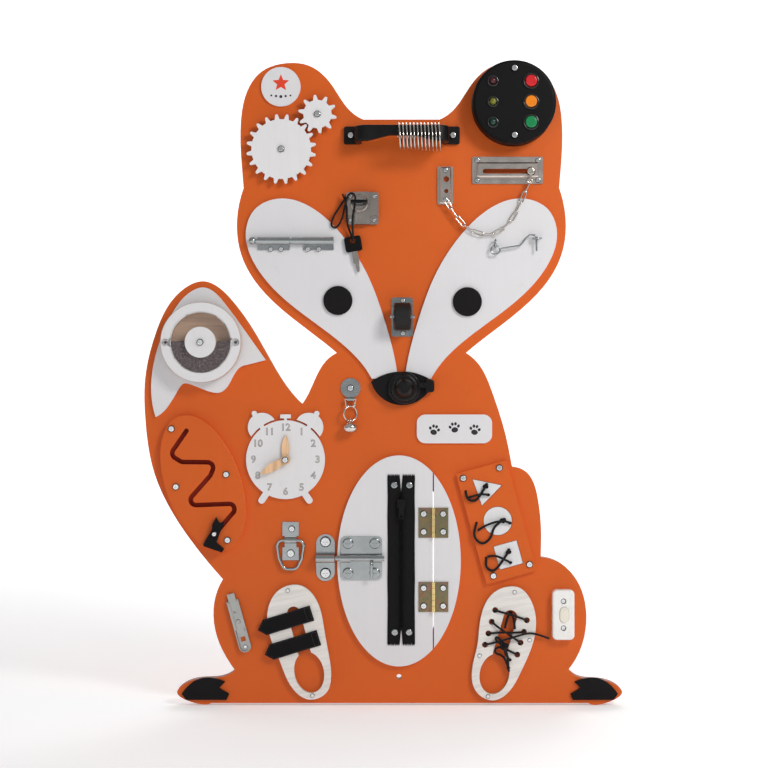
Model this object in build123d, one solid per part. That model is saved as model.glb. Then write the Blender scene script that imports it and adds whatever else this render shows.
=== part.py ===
from build123d import *
import math
import os

# Wooden busy board in the outline of a sitting fox, millimetres.
# World frame: back face on Y = 0, front face towards -Y, +Z up, origin on the axis of the
# lower wall-fixing hole. Fittings are drawn in the front view: x right, y up, and z the
# height above the board's front face. main() stands the front view up in the world.

# ---- board and wooden plates ------------------------------------------------------------
board_thick = 15.0          # birch plywood board
panel_thick = 4.0           # white panels glued on the front
trim_thick = 3.0            # eyes and paws
nose_thick = 6.0
door_thick = 6.0            # belly door and its fixed strip
shape_thick = 6.0           # shape-sorter panel
maze_thick = 8.0            # slider-maze plate
shoe_thick = 6.0
face_axis = 3.0             # the head's middle line

wall_hole_r = 3.3           # wall-fixing hole
hole_gap = 0.1              # screw shank in its hole, radial
run_gap = 0.3               # between pieces that move past each other
axle_gap = 0.08             # bore on its axle, radial
seat_gap = 0.3              # moving piece above the face it rides on

# ---- screws: head radius, head height, shank radius ---------------------------------------
pan_screw = (4.2, 2.4, 1.9)
small_screw = (3.2, 1.8, 1.4)
flange_screw = (6.8, 3.4, 2.2)
tiny_screw = (2.6, 1.4, 1.2)
screw_bite = 10.0           # thread below the board's front face
door_bite = 4.5             # thread in the door
recess_width = 0.9          # cross recess

# ---- gears ---------------------------------------------------------------------------------
gear_x, gear_y = -147.2, 661.0
gear_teeth, pinion_teeth = 20, 10
gear_distance = 62.9        # centre distance
gear_bearing = 43.9         # direction of the small gear from the large one, degrees
gear_outer_r, gear_root_r = 43.7, 37.2
pinion_outer_r, pinion_root_r = 24.2, 17.6
gear_thick = 5.0
gear_stand = 6.0            # spacer height under the gears
gear_axle_r = 3.2
spacer_r = 9.0
tooth_root_width, tooth_tip_width = 7.0, 3.6

# ---- carrying handle with coil ---------------------------------------------------------------
handle_x, handle_y = 3.5, 679.0
handle_pitch = 128.0
foot_long, foot_wide, foot_thick = 22.0, 22.0, 5.0
foot_shift, arm_inset, arm_bend = 2.5, 9.2, 11.0     # foot and arm stand inwards of the screw
grip_y, grip_wide, grip_thick, grip_height = 681.5, 13.0, 8.0, 32.0
taper_in, taper_out = 16.0, 47.0     # half lengths of the waist under the grip
coil_r, coil_wire_r, coil_turns, coil_long = 17.0, 0.9, 12, 53.5
coil_x = -1.6               # left end of the coil on the grip

# ---- signal box ------------------------------------------------------------------------------
case_x, case_y = 143.0, 717.5
case_r, case_depth, case_wall, case_round = 52.0, 28.0, 2.5, 4.0
lamp_dx, button_dx = -26.8, 20.5
row_pitch = 25.5
lamp_r, lamp_rim_r = 4.2, 7.2
button_r, button_rim_r = 7.2, 10.0
rim_height = 1.2
button_proud, button_travel = 3.4, 2.0
case_screw_dy = 41.5
circuit_r, circuit_thick, circuit_height = 44.0, 1.6, 15.0

# ---- door chain ------------------------------------------------------------------------------
track_x, track_y, track_long, track_wide, sheet_thick = 136.2, 635.5, 88.6, 34.0, 1.5
rail_long, rail_wide, rail_height = 77.0, 18.5, 9.0
slot_long, slot_wide = 57.0, 6.0
entry_r = 5.6
anchor_x, anchor_y, anchor_long, anchor_wide, anchor_height = 58.0, 616.5, 47.5, 19.7, 6.0
anchor_screw_dy = 18.6
link_wire_r, link_wide = 0.9, 6.4
chain_links = 12
chain_height = 8.0
slider_eye_r = 2.6
chain_slide = 40.0

# ---- cabin hook ------------------------------------------------------------------------------
eye_r, eye_wire_r, eye_height = 5.0, 1.1, 10.4
eye_shank_r = 1.5
left_eye_x, left_eye_y = 120.5, 543.0
right_eye_x, right_eye_y = 172.5, 549.4
hook_wire_r = 1.1

# ---- cabinet lock ----------------------------------------------------------------------------
lock_x, lock_y, lock_side, lock_height, lock_corner = -45.9, 587.6, 40.6, 9.0, 11.0
lock_base_height = 4.0
barrel_x, barrel_y, barrel_r, barrel_height = -49.6, 593.4, 11.0, 14.0
plug_r = 7.5
key_head_wide, key_head_long, key_thick = 21.0, 19.0, 3.0
key_blade_long, key_blade_wide, blade_thick = 27.0, 7.5, 2.2
key_eye_r = 3.6
spare_key_x, spare_key_y, spare_key_tilt = -58.0, 546.5, 10.0
key_cord_r = 1.25

# ---- tower bolt on the left cheek --------------------------------------------------------------
tower_y, tower_rod_r, tower_tube_r = 546.5, 3.4, 4.8
tower_left, tower_left_long = -177.0, 40.0
tower_right, tower_right_long = -119.9, 38.0
tower_flange = 9.5
tower_travel = 30.0

# ---- roller on the nose bridge -----------------------------------------------------------------
roller_x, roller_y, roller_r, roller_wide = 4.0, 451.5, 17.0, 20.5
roller_frame_long, roller_frame_wide, roller_axle_height = 49.0, 27.0, 18.5
roller_axle_r = 2.5

# ---- bell on the nose --------------------------------------------------------------------------
bell_x, bell_y, bell_base_r, bell_ring_r, bell_dome_r = 6.5, 362.5, 20.5, 17.0, 12.0
bell_height = 20.0
lever_pivot_x, lever_pivot_y = 27.6, 366.0
lever_eye_r, lever_pin_r = 3.4, 1.5

# ---- shaker wheel on the tail ------------------------------------------------------------------
shaker_x, shaker_y = -246.7, 419.3
shaker_r, window_r, hub_r = 50.0, 37.0, 19.2
shaker_thick, shaker_back, window_thick = 18.0, 3.0, 2.0
shaker_axle_r = 3.2
shaker_spacer = 2.0
lug_distance = 43.6
window_bite = 9.0           # thread of the window's screws in the drum

# ---- maze plate --------------------------------------------------------------------------------
maze_x, maze_y, maze_half_long, maze_half_wide, maze_tilt = -245.4, 243.2, 89.0, 46.4, 20.0
groove_wide, undercut_wide, undercut_high = 5.8, 10.4, 3.8
slider_lift, slider_thick = 3.0, 4.0

# ---- clock -------------------------------------------------------------------------------------
clock_x, clock_y, clock_r = -142.2, 272.7, 49.4
cap_r, cap_distance, cap_bearing, cap_gap = 18.0, 50.2, 125.7, 2.3
hand_thick, hour_long, minute_long = 3.0, 31.0, 36.0
hand_hub_r, clock_axle_r = 6.0, 2.4
minute_bearing = 210.0

# ---- jingle bell and ring fittings ---------------------------------------------------------------
hanger_x, hanger_y, washer_r = -60.8, 362.4, 12.5
ring_wire_r = 1.0
lash_x, lash_top, lash_wide = -136.0, 194.5, 20.5
lash_bar_y, lash_bar_r, lash_bar_height = 171.5, 1.9, 4.3
bail_wide, bail_long = 34.6, 36.0

# ---- belly door ----------------------------------------------------------------------------------
belly_y, belly_half_wide, belly_half_high = 146.0, 77.3, 132.0
window_lip = 14.0           # board left standing round the window
hinge_x = 43.0              # hinge axis and door split
split_gap = 1.6
leaf_thick, leaf_wide, leaf_long, knuckle_r, hinge_pin_r = 1.2, 18.6, 37.5, 2.8, 1.3
knuckle_count = 5
upper_hinge_y, lower_hinge_y = 193.9, 101.1
zip_x, zip_low, zip_high, zip_wide, tape_thick = 2.7, 39.8, 254.9, 34.6, 1.0
coil_wide, coil_thick = 5.0, 1.6
puller_y = 217.5

# ---- door bolt -------------------------------------------------------------------------------------
bolt_y, bolt_r = 149.7, 3.4
keeper_x, keeper_wide, keeper_long = -92.2, 23.3, 58.8
guide_left, guide_right, guide_long = -73.0, -21.2, 54.6
bolt_sheet = 1.5
bolt_left, bolt_right = -79.6, -18.5
bolt_travel = 24.0

# ---- shape sorter ------------------------------------------------------------------------------------
shape_x, shape_y, shape_wide, shape_long, shape_tilt = 122.0, 194.3, 65.3, 143.0, 15.5
shape_gap = 0.6             # piece in its socket
shape_cord_r = 1.5

# ---- shoes -------------------------------------------------------------------------------------------
strap_wide, strap_thick, strap_tilt = 19.8, 2.4, 17.0
lace_r = 1.35
eyelet_r = 3.7
lace_relief = 3.6           # depth of the grooves behind the shoe that the lace runs in

# ---- light switch and flat bolt -------------------------------------------------------------------------
switch_x, switch_y, switch_wide, switch_long, switch_height = 205.4, 79.0, 27.6, 62.7, 12.0
switch_button_wide, switch_button_long = 11.4, 19.4
flat_x, flat_y, flat_tilt, flat_long, flat_wide, flat_height = -200.0, 64.0, 15.7, 67.0, 15.0, 5.0
tongue_wide, tongue_thick = 9.4, 2.2
tongue_travel = 14.0


# ---- drawing helpers ----------------------------------------------------------------------------
def slab(shape, low, high):
    """Solid of a front-view outline between two heights above the board's front face."""
    faces = [face if face.normal_at().Z > 0 else -face for face in shape.faces()]
    return Pos(0, 0, low) * extrude(Sketch() + faces, amount=high - low)


def disc(x, y, radius, low, high):
    return slab(Pos(x, y) * Circle(radius), low, high)


def block(x0, x1, y0, y1, low, high):
    return Pos((x0 + x1) / 2, (y0 + y1) / 2, (low + high) / 2) * Box(x1 - x0, y1 - y0, high - low)


def outline(*runs):
    """Closed front-view outline: a run of two points is a line, a longer one a smooth curve."""
    edges = [Line(*run) if len(run) == 2 else Spline(*run) for run in runs]
    face = Face(Wire(edges))
    return Sketch() + (face if face.normal_at().Z > 0 else -face)


def oval(half_wide, half_high):
    """Upright ellipse."""
    return Rot(0, 0, 90) * Ellipse(half_high, half_wide)


def rounded(wide, high, radius):
    return RectangleRounded(wide, high, radius)


def bar(start, end, width):
    """Front-view bar with round ends between two points."""
    dx, dy = end[0] - start[0], end[1] - start[1]
    length = math.hypot(dx, dy)
    middle = Pos((start[0] + end[0]) / 2, (start[1] + end[1]) / 2)
    return middle * Rot(0, 0, math.degrees(math.atan2(dy, dx))) * SlotCenterToCenter(length, width)


def turned(x, y, angle):
    """Place for a shape drawn about its own centre and turned in the front view."""
    return Pos(x, y, 0) * Rot(0, 0, angle)


def mirrored(points, axis):
    return [(2 * axis - x, y) for x, y in reversed(points)]


def wire_tube(points, radius, bends):
    """Round wire along straight runs joined by arcs."""
    path = FilletPolyline(*points, radius=bends)
    start = Plane(origin=path @ 0, z_dir=path % 0)
    return sweep(start * Circle(radius), path=path, is_frenet=False)


def cord_bends(points):
    """Arc radii of a cord's route: as large as each pair of runs allows."""
    radii = []
    for before, here, after in zip(points, points[1:], points[2:]):
        run_in = Vector(*here) - Vector(*before)
        run_out = Vector(*after) - Vector(*here)
        turn = math.radians(run_in.get_angle(run_out))
        radii.append(0.45 * min(run_in.length, run_out.length) / math.tan(turn / 2))
    return radii


def cord(name, points, radius):
    radii = cord_bends(points)
    print(name, "bend radii", [round(r, 1) for r in radii])
    path = FilletPolyline(*points, radius=radii)
    print(name, "length", round(path.length, 1))
    start = Plane(origin=path @ 0, z_dir=path % 0)
    return sweep(start * Circle(radius), path=path)


def screw(x, y, seat, kind, bite=screw_bite):
    """Pan-head screw with a cross recess, its head on the face at height seat."""
    head_r, head_high, shank_r = kind
    head = Cylinder(head_r, head_high, align=(Align.CENTER, Align.CENTER, Align.MIN))
    head = fillet(head.edges().sort_by(Axis.Z)[-1], head_high * 0.6)
    recess = Box(head_r, recess_width, head_high) + Box(recess_width, head_r, head_high)
    head -= Pos(0, 0, head_high) * recess
    shank_long = seat + bite
    shank = Pos(0, 0, -shank_long / 2) * Cylinder(shank_r, shank_long)
    return Pos(x, y, seat) * (head + shank)


def clearance(x, y, kind, bite=screw_bite, top=60.0):
    """Hole that a screw passes through, from below its tip to above its head."""
    return disc(x, y, kind[2] + hole_gap, -bite - 1.0, top)


board_screws = []           # every screw in the board: x, y, seat height, kind
door_screws = []            # every screw in the belly door


def fixed_by(piece, places, seat, kind):
    """Drill a fitting for screws into the board and note the screws."""
    for x, y in places:
        board_screws.append((x, y, seat, kind))
        piece -= clearance(x, y, kind)
    return piece


def on_door(piece, places, seat, kind):
    """Drill a fitting for screws into the door and note the screws."""
    for x, y in places:
        door_screws.append((x, y, seat, kind))
        piece -= clearance(x, y, kind, bite=-door_thick)
    return piece


# ---- fox outline -----------------------------------------------------------------------------------
def fox_outline():
    ear = [(-45, 699.5), (-69, 719.5), (-87, 746.5), (-114, 767.5), (-138, 770.5), (-174, 758.5),
           (-191, 734), (-198.5, 696), (-198.5, 658), (-195, 613.5)]
    cheek = [(-195, 613.5), (-203.5, 567), (-199, 533), (-187, 506), (-157, 470), (-78, 406.5)]
    shoulder = [(-78, 406.5), (-93, 395), (-107, 370), (-121.5, 342.5)]
    tail = [(-121.5, 342.5), (-167, 407.5), (-208, 470.5), (-246, 496.5), (-275, 483), (-305, 432.5),
            (-319, 370), (-318.5, 325), (-307.5, 257), (-268.5, 181.5), (-221, 122.5)]
    haunch = [(-221, 122.5), (-232, 92), (-230, 56), (-217, 25), (-206, 8.5)]
    paw = [(-206, 8.5), (-227, -1), (-265, -6.5), (-278.5, -19), (-261, -31.5), (-236, -33)]
    right_paw = [(238, -33), (264, -31.5), (280, -19), (265, -6.5), (228, -1), (213, 9.5)]
    right_haunch = [(213, 9.5), (229, 38), (235, 81), (224.5, 119), (200, 144), (178, 150)]
    hip = [(178, 150), (178.5, 175), (175, 220), (160, 257), (142, 263.5)]
    right_shoulder = [(142, 263.5), (133, 307), (117, 357.5), (98, 395), (84, 406.5)]
    return outline(
        ear, cheek, shoulder, tail, haunch, paw, [(-236, -33), (238, -33)], right_paw, right_haunch,
        hip, right_shoulder, mirrored(cheek, face_axis), mirrored(ear, face_axis),
        [(2 * face_axis + 45, 699.5), (-45, 699.5)])


def belly_oval(margin=0.0):
    return Pos(0, belly_y) * oval(belly_half_wide - margin, belly_half_high - margin)


def nose_outline(grow=0.0):
    left, right, low, high = face_axis - 38 - grow, face_axis + 40 + grow, 341.0 - grow, 383.0 + grow
    lower = ThreePointArc((left, 370.5), (face_axis + 1, low), (right, 370.5))
    upper = ThreePointArc((right, 370.5), (face_axis + 1, high), (left, 370.5))
    return Sketch() + Face(Wire([lower, upper]))


def cheek_outline():
    edge = [(-34, 374), (-49, 396), (-80, 425), (-145.5, 475.5), (-179.5, 515.5), (-192, 556),
            (-181, 586), (-147, 600), (-105.5, 586), (-73, 556), (-40, 505.5), (-17.5, 445.5),
            (-6.5, 405), (-1.5, 376)]
    return outline(edge, [(-1.5, 376), (-34, 374)])


def white_panels():
    nose = slab(nose_outline(run_gap), -1, panel_thick + 1)
    cheek = slab(cheek_outline(), 0, panel_thick)
    other = Pos(2 * face_axis, 0, 0) * mirror(cheek, about=Plane.YZ) - nose
    cheek -= nose
    tip, shoulder, notch, foot = (-167, 397.5), (-205, 451), (-190.5, 391.5), (-305, 326)
    upper = [foot, (-310.5, 357), (-297.5, 427), (-282.5, 459), (-267, 478.5), (-245.5, 488.5),
             (-216, 465.5), shoulder]
    lower = [notch, (-202, 386), (-216, 363), (-224, 357), (-235.5, 357.5), (-261, 367), (-270, 368),
             (-276.5, 360.5), (-286.5, 344), foot]
    shape = outline(upper, [shoulder, tip], [tip, notch], lower)
    tail_tip = slab(shape, 0, panel_thick) - clearance(shaker_x, shaker_y, pan_screw)
    badge = disc(-148.1, 740.2, 24.7, 0, trim_thick)
    name_plate = slab(Pos(69.5, 311.2) * rounded(94.4, 36.1, 11), 0, trim_thick)
    return [cheek, other, tail_tip, badge, name_plate]


def black_panels():
    eyes = [disc(x, y, 18.2, panel_thick, panel_thick + trim_thick)
            for x, y in ((-76.5, 472.0), (2 * face_axis + 79.5, 470.5))]
    nose = slab(nose_outline(), 0, nose_thick)
    paw = [(-272.5, -21), (-262, -9), (-250, -2), (-231, -1.5), (-218, -6)]
    toes = [(-218, -6), (-225.5, -13.5), (-213, -21), (-216, -28.5), (-267, -28.5), (-272.5, -21)]
    runs = [paw] + [[a, b] for a, b in zip(toes, toes[1:])]
    left = slab(outline(*runs), 0, trim_thick)
    right = Pos(2, 0, 0) * mirror(left, about=Plane.YZ)
    return eyes + [nose, left, right]


# ---- gears -----------------------------------------------------------------------------------------
def gear_profile(teeth, root_r, outer_r, first_tooth):
    """Disc with straight-sided, round-tipped teeth; the first tooth points to first_tooth degrees."""
    profile = Circle(root_r)
    inner = root_r - 1.5
    tip_half, root_half = tooth_tip_width / 2, tooth_root_width / 2
    shoulder = outer_r - tip_half
    tooth = Polygon((inner, -root_half), (shoulder, -tip_half), (shoulder, tip_half),
                    (inner, root_half), align=None) + Pos(shoulder, 0) * Circle(tip_half)
    for index in range(teeth):
        profile += Rot(0, 0, first_tooth + index * 360 / teeth) * tooth
    return profile


def pinion_centre():
    angle = math.radians(gear_bearing)
    return gear_x + gear_distance * math.cos(angle), gear_y + gear_distance * math.sin(angle)


def gear(x, y, teeth, root_r, outer_r, first_tooth):
    profile = gear_profile(teeth, root_r, outer_r, first_tooth) - Circle(gear_axle_r + axle_gap)
    low = gear_stand + seat_gap
    return Pos(x, y, 0) * slab(profile, low, low + gear_thick)


def gears():
    x, y = pinion_centre()
    half_pitch = 180 / pinion_teeth
    large = gear(gear_x, gear_y, gear_teeth, gear_root_r, gear_outer_r, gear_bearing)
    small = gear(x, y, pinion_teeth, pinion_root_r, pinion_outer_r, gear_bearing + 180 + half_pitch)
    return large, small


def gear_axles():
    """Spacer with shoulder screw for each gear."""
    top = gear_stand + gear_thick + 2 * seat_gap
    axles = []
    for x, y in ((gear_x, gear_y), pinion_centre()):
        spacer = disc(x, y, spacer_r, 0, gear_stand) - clearance(x, y, pan_screw)
        shoulder = disc(x, y, gear_axle_r, gear_stand, top)
        axles += [spacer, screw(x, y, top, pan_screw) + shoulder]
    return axles


# ---- handle and coil ---------------------------------------------------------------------------------
def bow_handle():
    """Bent flat bar: broad feet, a straight upper edge, and a lower edge that tapers into the grip."""
    half = handle_pitch / 2
    feet_x = (handle_x - half, handle_x + half)
    rise = half - arm_inset
    upper, lower = grip_y + grip_wide / 2, handle_y - foot_wide / 2
    middle = (upper + lower) / 2
    path = FilletPolyline((-rise, middle, 2), (-rise, middle, grip_height),
                          (rise, middle, grip_height), (rise, middle, 2), radius=arm_bend)
    start = Plane(origin=path @ 0, x_dir=(0, 1, 0), z_dir=path % 0)
    bow = Pos(handle_x, 0, 0) * sweep(start * rounded(upper - lower, grip_thick, 2.5), path=path)
    waist = Polygon((-taper_out, lower - 1), (-taper_in, upper - grip_wide),
                    (taper_in, upper - grip_wide), (taper_out, lower - 1), align=None)
    waist = fillet(waist.vertices().group_by(Axis.Y)[-1], 22)
    bow -= slab(Pos(handle_x, 0) * waist, 0, 80)
    for x, inward in zip(feet_x, (1, -1)):
        foot = Pos(x + inward * foot_shift, handle_y) * rounded(foot_long, foot_wide, 2.5)
        bow += slab(foot, 0, foot_thick)
    return fixed_by(bow, [(x, handle_y) for x in feet_x], foot_thick, pan_screw)


def coil_axis_y():
    """Middle line of the coil, hanging with its inside on the grip's upper edges."""
    inside = coil_r - coil_wire_r - seat_gap
    return grip_y + grip_wide / 2 - math.sqrt(inside ** 2 - (grip_thick / 2) ** 2)


def slinky_coil():
    path = Helix(pitch=coil_long / coil_turns, height=coil_long, radius=coil_r)
    ring = Plane(origin=path @ 0, z_dir=path % 0) * Circle(coil_wire_r)
    helix = sweep(ring, path=path, is_frenet=True)
    return Pos(coil_x, coil_axis_y(), grip_height) * Rot(0, 90, 0) * helix


# ---- signal box ----------------------------------------------------------------------------------------
def row_heights():
    return (case_y + row_pitch, case_y, case_y - row_pitch)


def signal_case():
    shell = Cylinder(case_r, case_depth, align=(Align.CENTER, Align.CENTER, Align.MIN))
    shell = fillet(shell.edges().sort_by(Axis.Z)[-1], case_round)
    cavity = Cylinder(case_r - case_wall, case_depth - case_wall,
                      align=(Align.CENTER, Align.CENTER, Align.MIN))
    shell = Pos(case_x, case_y, 0) * (shell - cavity)
    places = [(case_x, case_y + case_screw_dy), (case_x, case_y - case_screw_dy)]
    for x, y in places:
        shell += disc(x, y, 4.5, 0, case_depth - 1)
    for y in row_heights():
        lamp_x, button_x = case_x + lamp_dx, case_x + button_dx
        shell += disc(lamp_x, y, lamp_rim_r, case_depth - case_wall, case_depth + rim_height)
        shell += disc(button_x, y, button_rim_r, case_depth - case_wall, case_depth + rim_height)
        shell -= disc(lamp_x, y, lamp_r + hole_gap, 0, case_depth + 5)
        shell -= disc(button_x, y, button_r + run_gap, 0, case_depth + 5)
    return fixed_by(shell, places, case_depth, pan_screw)


def signal_circuit():
    """Printed circuit board, battery box and the three lamps soldered to the board."""
    sheet = disc(case_x, case_y, circuit_r, circuit_height, circuit_height + circuit_thick)
    for dy in (case_screw_dy, -case_screw_dy):
        sheet -= disc(case_x, case_y + dy, 5.0, 0, case_depth)
    battery = block(case_x - 16, case_x + 16, case_y - 28, case_y + 28, 0, circuit_height)
    lamps = []
    lamp_foot = circuit_height + circuit_thick
    lamp_top = case_depth + rim_height + 1.0
    for y in row_heights():
        body = disc(case_x + lamp_dx, y, lamp_r, lamp_foot, lamp_top)
        lens = Pos(case_x + lamp_dx, y, lamp_top) * Sphere(lamp_r)
        keep = disc(case_x + lamp_dx, y, lamp_r + 1, lamp_top, lamp_top + lamp_r)
        lamps.append(body + (lens & keep))
    return [sheet, battery] + lamps


def signal_button(y):
    """Push button: domed cap, and a flange that keeps it behind the case's face."""
    x = case_x + button_dx
    top = case_depth + rim_height + button_proud
    cap = disc(x, y, button_r, case_depth - case_wall - 1, top)
    cap = fillet(cap.edges().group_by(Axis.Z)[-1], 1.6)
    flange_top = case_depth - case_wall - run_gap
    flange = disc(x, y, button_r + 1.8, flange_top - 1.5, flange_top)
    stem = disc(x, y, 2.0, circuit_height + circuit_thick + button_travel + run_gap, flange_top)
    return cap + flange + stem


# ---- door chain ------------------------------------------------------------------------------------------
def slider_place():
    """Centre of the chain slider at rest, in the wide end of the slot."""
    return track_x + slot_long / 2, track_y - 2.0


def chain_plates():
    base = slab(Pos(track_x, track_y) * rounded(track_long, track_wide, 2), 0, sheet_thick)
    rail = slab(Pos(track_x, track_y) * rounded(rail_long, rail_wide, 2), 0, rail_height)
    rail = chamfer(rail.edges().group_by(Axis.Z)[-1], 1.6)
    hollow = slab(Pos(track_x, track_y) * Rectangle(rail_long - 2 * sheet_thick,
                                                    rail_wide - 2 * sheet_thick),
                  -1, rail_height - sheet_thick)
    x, y = slider_place()
    slot = slab(bar((track_x - slot_long / 2, y), (x, y), slot_wide), 0, rail_height + 1)
    entry = disc(x, y, entry_r, 0, rail_height + 1)
    track = base + rail - hollow - slot - entry
    corner_dx, corner_dy = track_long / 2 - 6.2, track_wide / 2 - 4.6
    track = fixed_by(track, [(track_x + i * corner_dx, track_y + j * corner_dy)
                             for i in (-1, 1) for j in (-1, 1)], sheet_thick, small_screw)
    anchor = slab(Pos(anchor_x, anchor_y) * rounded(anchor_wide, anchor_long, 2), 0, sheet_thick)
    pad = slab(Pos(anchor_x, anchor_y) * rounded(anchor_wide - 5, anchor_long - 2, 2), 0, anchor_height)
    pad = chamfer(pad.edges().group_by(Axis.Z)[-1], 1.2)
    anchor = anchor + pad - disc(anchor_x + 1.2, anchor_y + 7.5, 3.6, -1, 20)
    anchor -= disc(anchor_x + 1.2, anchor_y - 7.5, 2.6, -1, 20)
    anchor = fixed_by(anchor, [(anchor_x, anchor_y + anchor_screw_dy)], anchor_height, small_screw)
    shoulder = chain_height + link_wire_r + hole_gap
    anchor = fixed_by(anchor, [(anchor_x, anchor_y - anchor_screw_dy)], shoulder, tiny_screw)
    return [track, anchor]


def chain_nodes():
    """Places where the links hook into each other, from the anchor's lower screw to the slider."""
    end_x, end_y = slider_place()
    start = (anchor_x - 0.6, anchor_y - anchor_screw_dy + 1.1)
    hang = Spline(start, (70.5, 579), (91, 559), (115, 554.5), (139, 570.5), (155, 601.5),
                  (end_x - 0.8, end_y - 13.5))
    return [hang @ (i / chain_links) for i in range(chain_links + 1)]


def chain_link(start, end, height, flat):
    """One welded link hooked at two places, lying flat or standing on edge."""
    reach = link_wire_r + hole_gap
    length = math.hypot(end.X - start.X, end.Y - start.Y) + 2 * reach
    bend = link_wide / 2 - link_wire_r
    path = SlotCenterToCenter(length - 2 * bend, 2 * bend).wire()
    ring = Plane(origin=path @ 0, z_dir=path % 0) * Circle(link_wire_r)
    link = sweep(ring, path=path)
    angle = math.degrees(math.atan2(end.Y - start.Y, end.X - start.X))
    tip = Rot(0, 0, 0) if flat else Rot(90, 0, 0)
    middle = Pos((start.X + end.X) / 2, (start.Y + end.Y) / 2, height)
    return middle * Rot(0, 0, angle) * tip * link


def chain_parts():
    """The links, from the one under the anchor's screw to the one in the slider's eye."""
    nodes = chain_nodes()
    return [chain_link(a, b, chain_height, index % 2 == 0)
            for index, (a, b) in enumerate(zip(nodes, nodes[1:]))]


def chain_slider():
    """Headed stud in the slot with an arm and an eye for the last link."""
    x, y = slider_place()
    head = disc(x, y, slot_wide / 2 + 1.6, rail_height - sheet_thick - run_gap - 1.5,
                rail_height - sheet_thick - run_gap)
    neck = disc(x, y, slot_wide / 2 - run_gap, rail_height - sheet_thick - run_gap - 1.5,
                rail_height + seat_gap)
    button = disc(x, y, 4.6, rail_height + seat_gap, rail_height + 3.3)
    button = fillet(button.edges().group_by(Axis.Z)[-1], 1.0)
    node = chain_nodes()[-1]
    low = rail_height + seat_gap
    eye_y = node.Y + slider_eye_r - link_wire_r - hole_gap
    eye = Pos(node.X, eye_y, chain_height) * Torus(slider_eye_r, link_wire_r)
    arm = slab(bar((x, y), (node.X, eye_y + slider_eye_r), 3.0), low, low + 1.6)
    post = disc(node.X, eye_y + slider_eye_r, 1.1, chain_height, low + 1)
    return head + neck + button + arm + post + eye


# ---- cabin hook --------------------------------------------------------------------------------------------
def screw_eye(x, y, turn):
    ring = Pos(x, y, eye_height) * Rot(0, 0, turn) * Rot(0, 90, 0) * Torus(eye_r, eye_wire_r)
    shank_top = eye_height - eye_r
    shank = disc(x, y, eye_shank_r, -screw_bite, shank_top)
    return ring + shank


def eye_places():
    return (left_eye_x, left_eye_y), (right_eye_x, right_eye_y)


def eye_holes():
    return [disc(x, y, eye_shank_r + hole_gap, -screw_bite - 1, 20) for x, y in eye_places()]


def cabin_hook():
    loop_r = 5.5
    loop_y = left_eye_y - eye_r + eye_wire_r + hook_wire_r + run_gap - loop_r
    loop = Pos(left_eye_x, loop_y, eye_height) * Torus(loop_r, hook_wire_r)
    tip_x = right_eye_x - 1.2
    points = [(left_eye_x + loop_r - 0.4, loop_y + 1.5, eye_height), (152, 540.5, eye_height),
              (158.5, 550.0, eye_height), (163.5, 553.8, eye_height), (tip_x, 553.2, eye_height),
              (tip_x + 0.5, 533.5, eye_height)]
    return loop + wire_tube(points, hook_wire_r, [8, 4, 3, 2.5])


# ---- cabinet lock --------------------------------------------------------------------------------------------
def lock_case():
    body = slab(Pos(lock_x, lock_y) * rounded(lock_side, lock_side, 3), 0, lock_height)
    offset_xy = lock_side / 2 - lock_corner / 2
    corners = [(lock_x + i * offset_xy, lock_y + j * offset_xy) for i in (-1, 1) for j in (-1, 1)]
    for x, y in corners:
        body -= slab(Pos(x, y) * Rectangle(lock_corner, lock_corner), lock_base_height, lock_height + 1)
    barrel = disc(barrel_x, barrel_y, barrel_r, 0, barrel_height)
    body += chamfer(barrel.edges().group_by(Axis.Z)[-1], 1.0)
    body -= disc(barrel_x, barrel_y, plug_r + run_gap, lock_base_height - 2, barrel_height + 1)
    return fixed_by(body, corners, lock_base_height, tiny_screw)


def key_shape():
    """Flat key drawn with its eye at the origin and the blade pointing down."""
    head = Pos(0, -key_head_long / 2 + key_eye_r + 2) * rounded(key_head_wide, key_head_long, 3)
    head -= Pos(0, 0) * Circle(key_eye_r)
    head_low = -key_head_long + key_eye_r + 2
    blade = [(-key_blade_wide / 2, head_low), (-key_blade_wide / 2, head_low - 14),
             (-key_blade_wide / 2 + 2, head_low - 16), (-1.2, head_low - key_blade_long + 3),
             (0, head_low - key_blade_long), (2.2, head_low - key_blade_long + 2),
             (key_blade_wide / 2, head_low - 12), (key_blade_wide / 2, head_low)]
    return head, Polygon(*blade, align=None)


def key_solids(eye_height_above):
    head, blade = key_shape()
    half = key_thick / 2
    grip = slab(head, eye_height_above - half, eye_height_above + half)
    steel = slab(blade, eye_height_above - blade_thick / 2, eye_height_above + blade_thick / 2)
    return grip, steel


def lock_key():
    """Turning plug with the working key pushed in, its head standing out from the board."""
    plug = disc(barrel_x, barrel_y, plug_r, lock_base_height - 2 + run_gap, barrel_height + 0.5)
    head, blade = key_solids(0)
    reach = barrel_height + 0.5 + key_head_long - key_eye_r + 3.0
    upright = Pos(barrel_x, barrel_y, reach) * Rot(90, 0, 0)
    visible = disc(barrel_x, barrel_y, barrel_r, barrel_height + 0.5, reach)
    return [plug, (upright * blade) & visible, upright * head]


def spare_key():
    head, blade = key_solids(0)
    hung = Pos(spare_key_x, spare_key_y, spare_key_height()) * Rot(0, 0, spare_key_tilt)
    return [hung * head, hung * blade]


def spare_key_height():
    return panel_thick + key_thick / 2 + 1.5


# ---- tower bolt ----------------------------------------------------------------------------------------------
def tube(x0, x1, y, height, outer_r, inner_r):
    solid = Pos((x0 + x1) / 2, y, height) * Rot(0, 90, 0) * Cylinder(outer_r, x1 - x0)
    return solid - Pos((x0 + x1) / 2, y, height) * Rot(0, 90, 0) * Cylinder(inner_r, x1 - x0 + 2)


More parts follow.
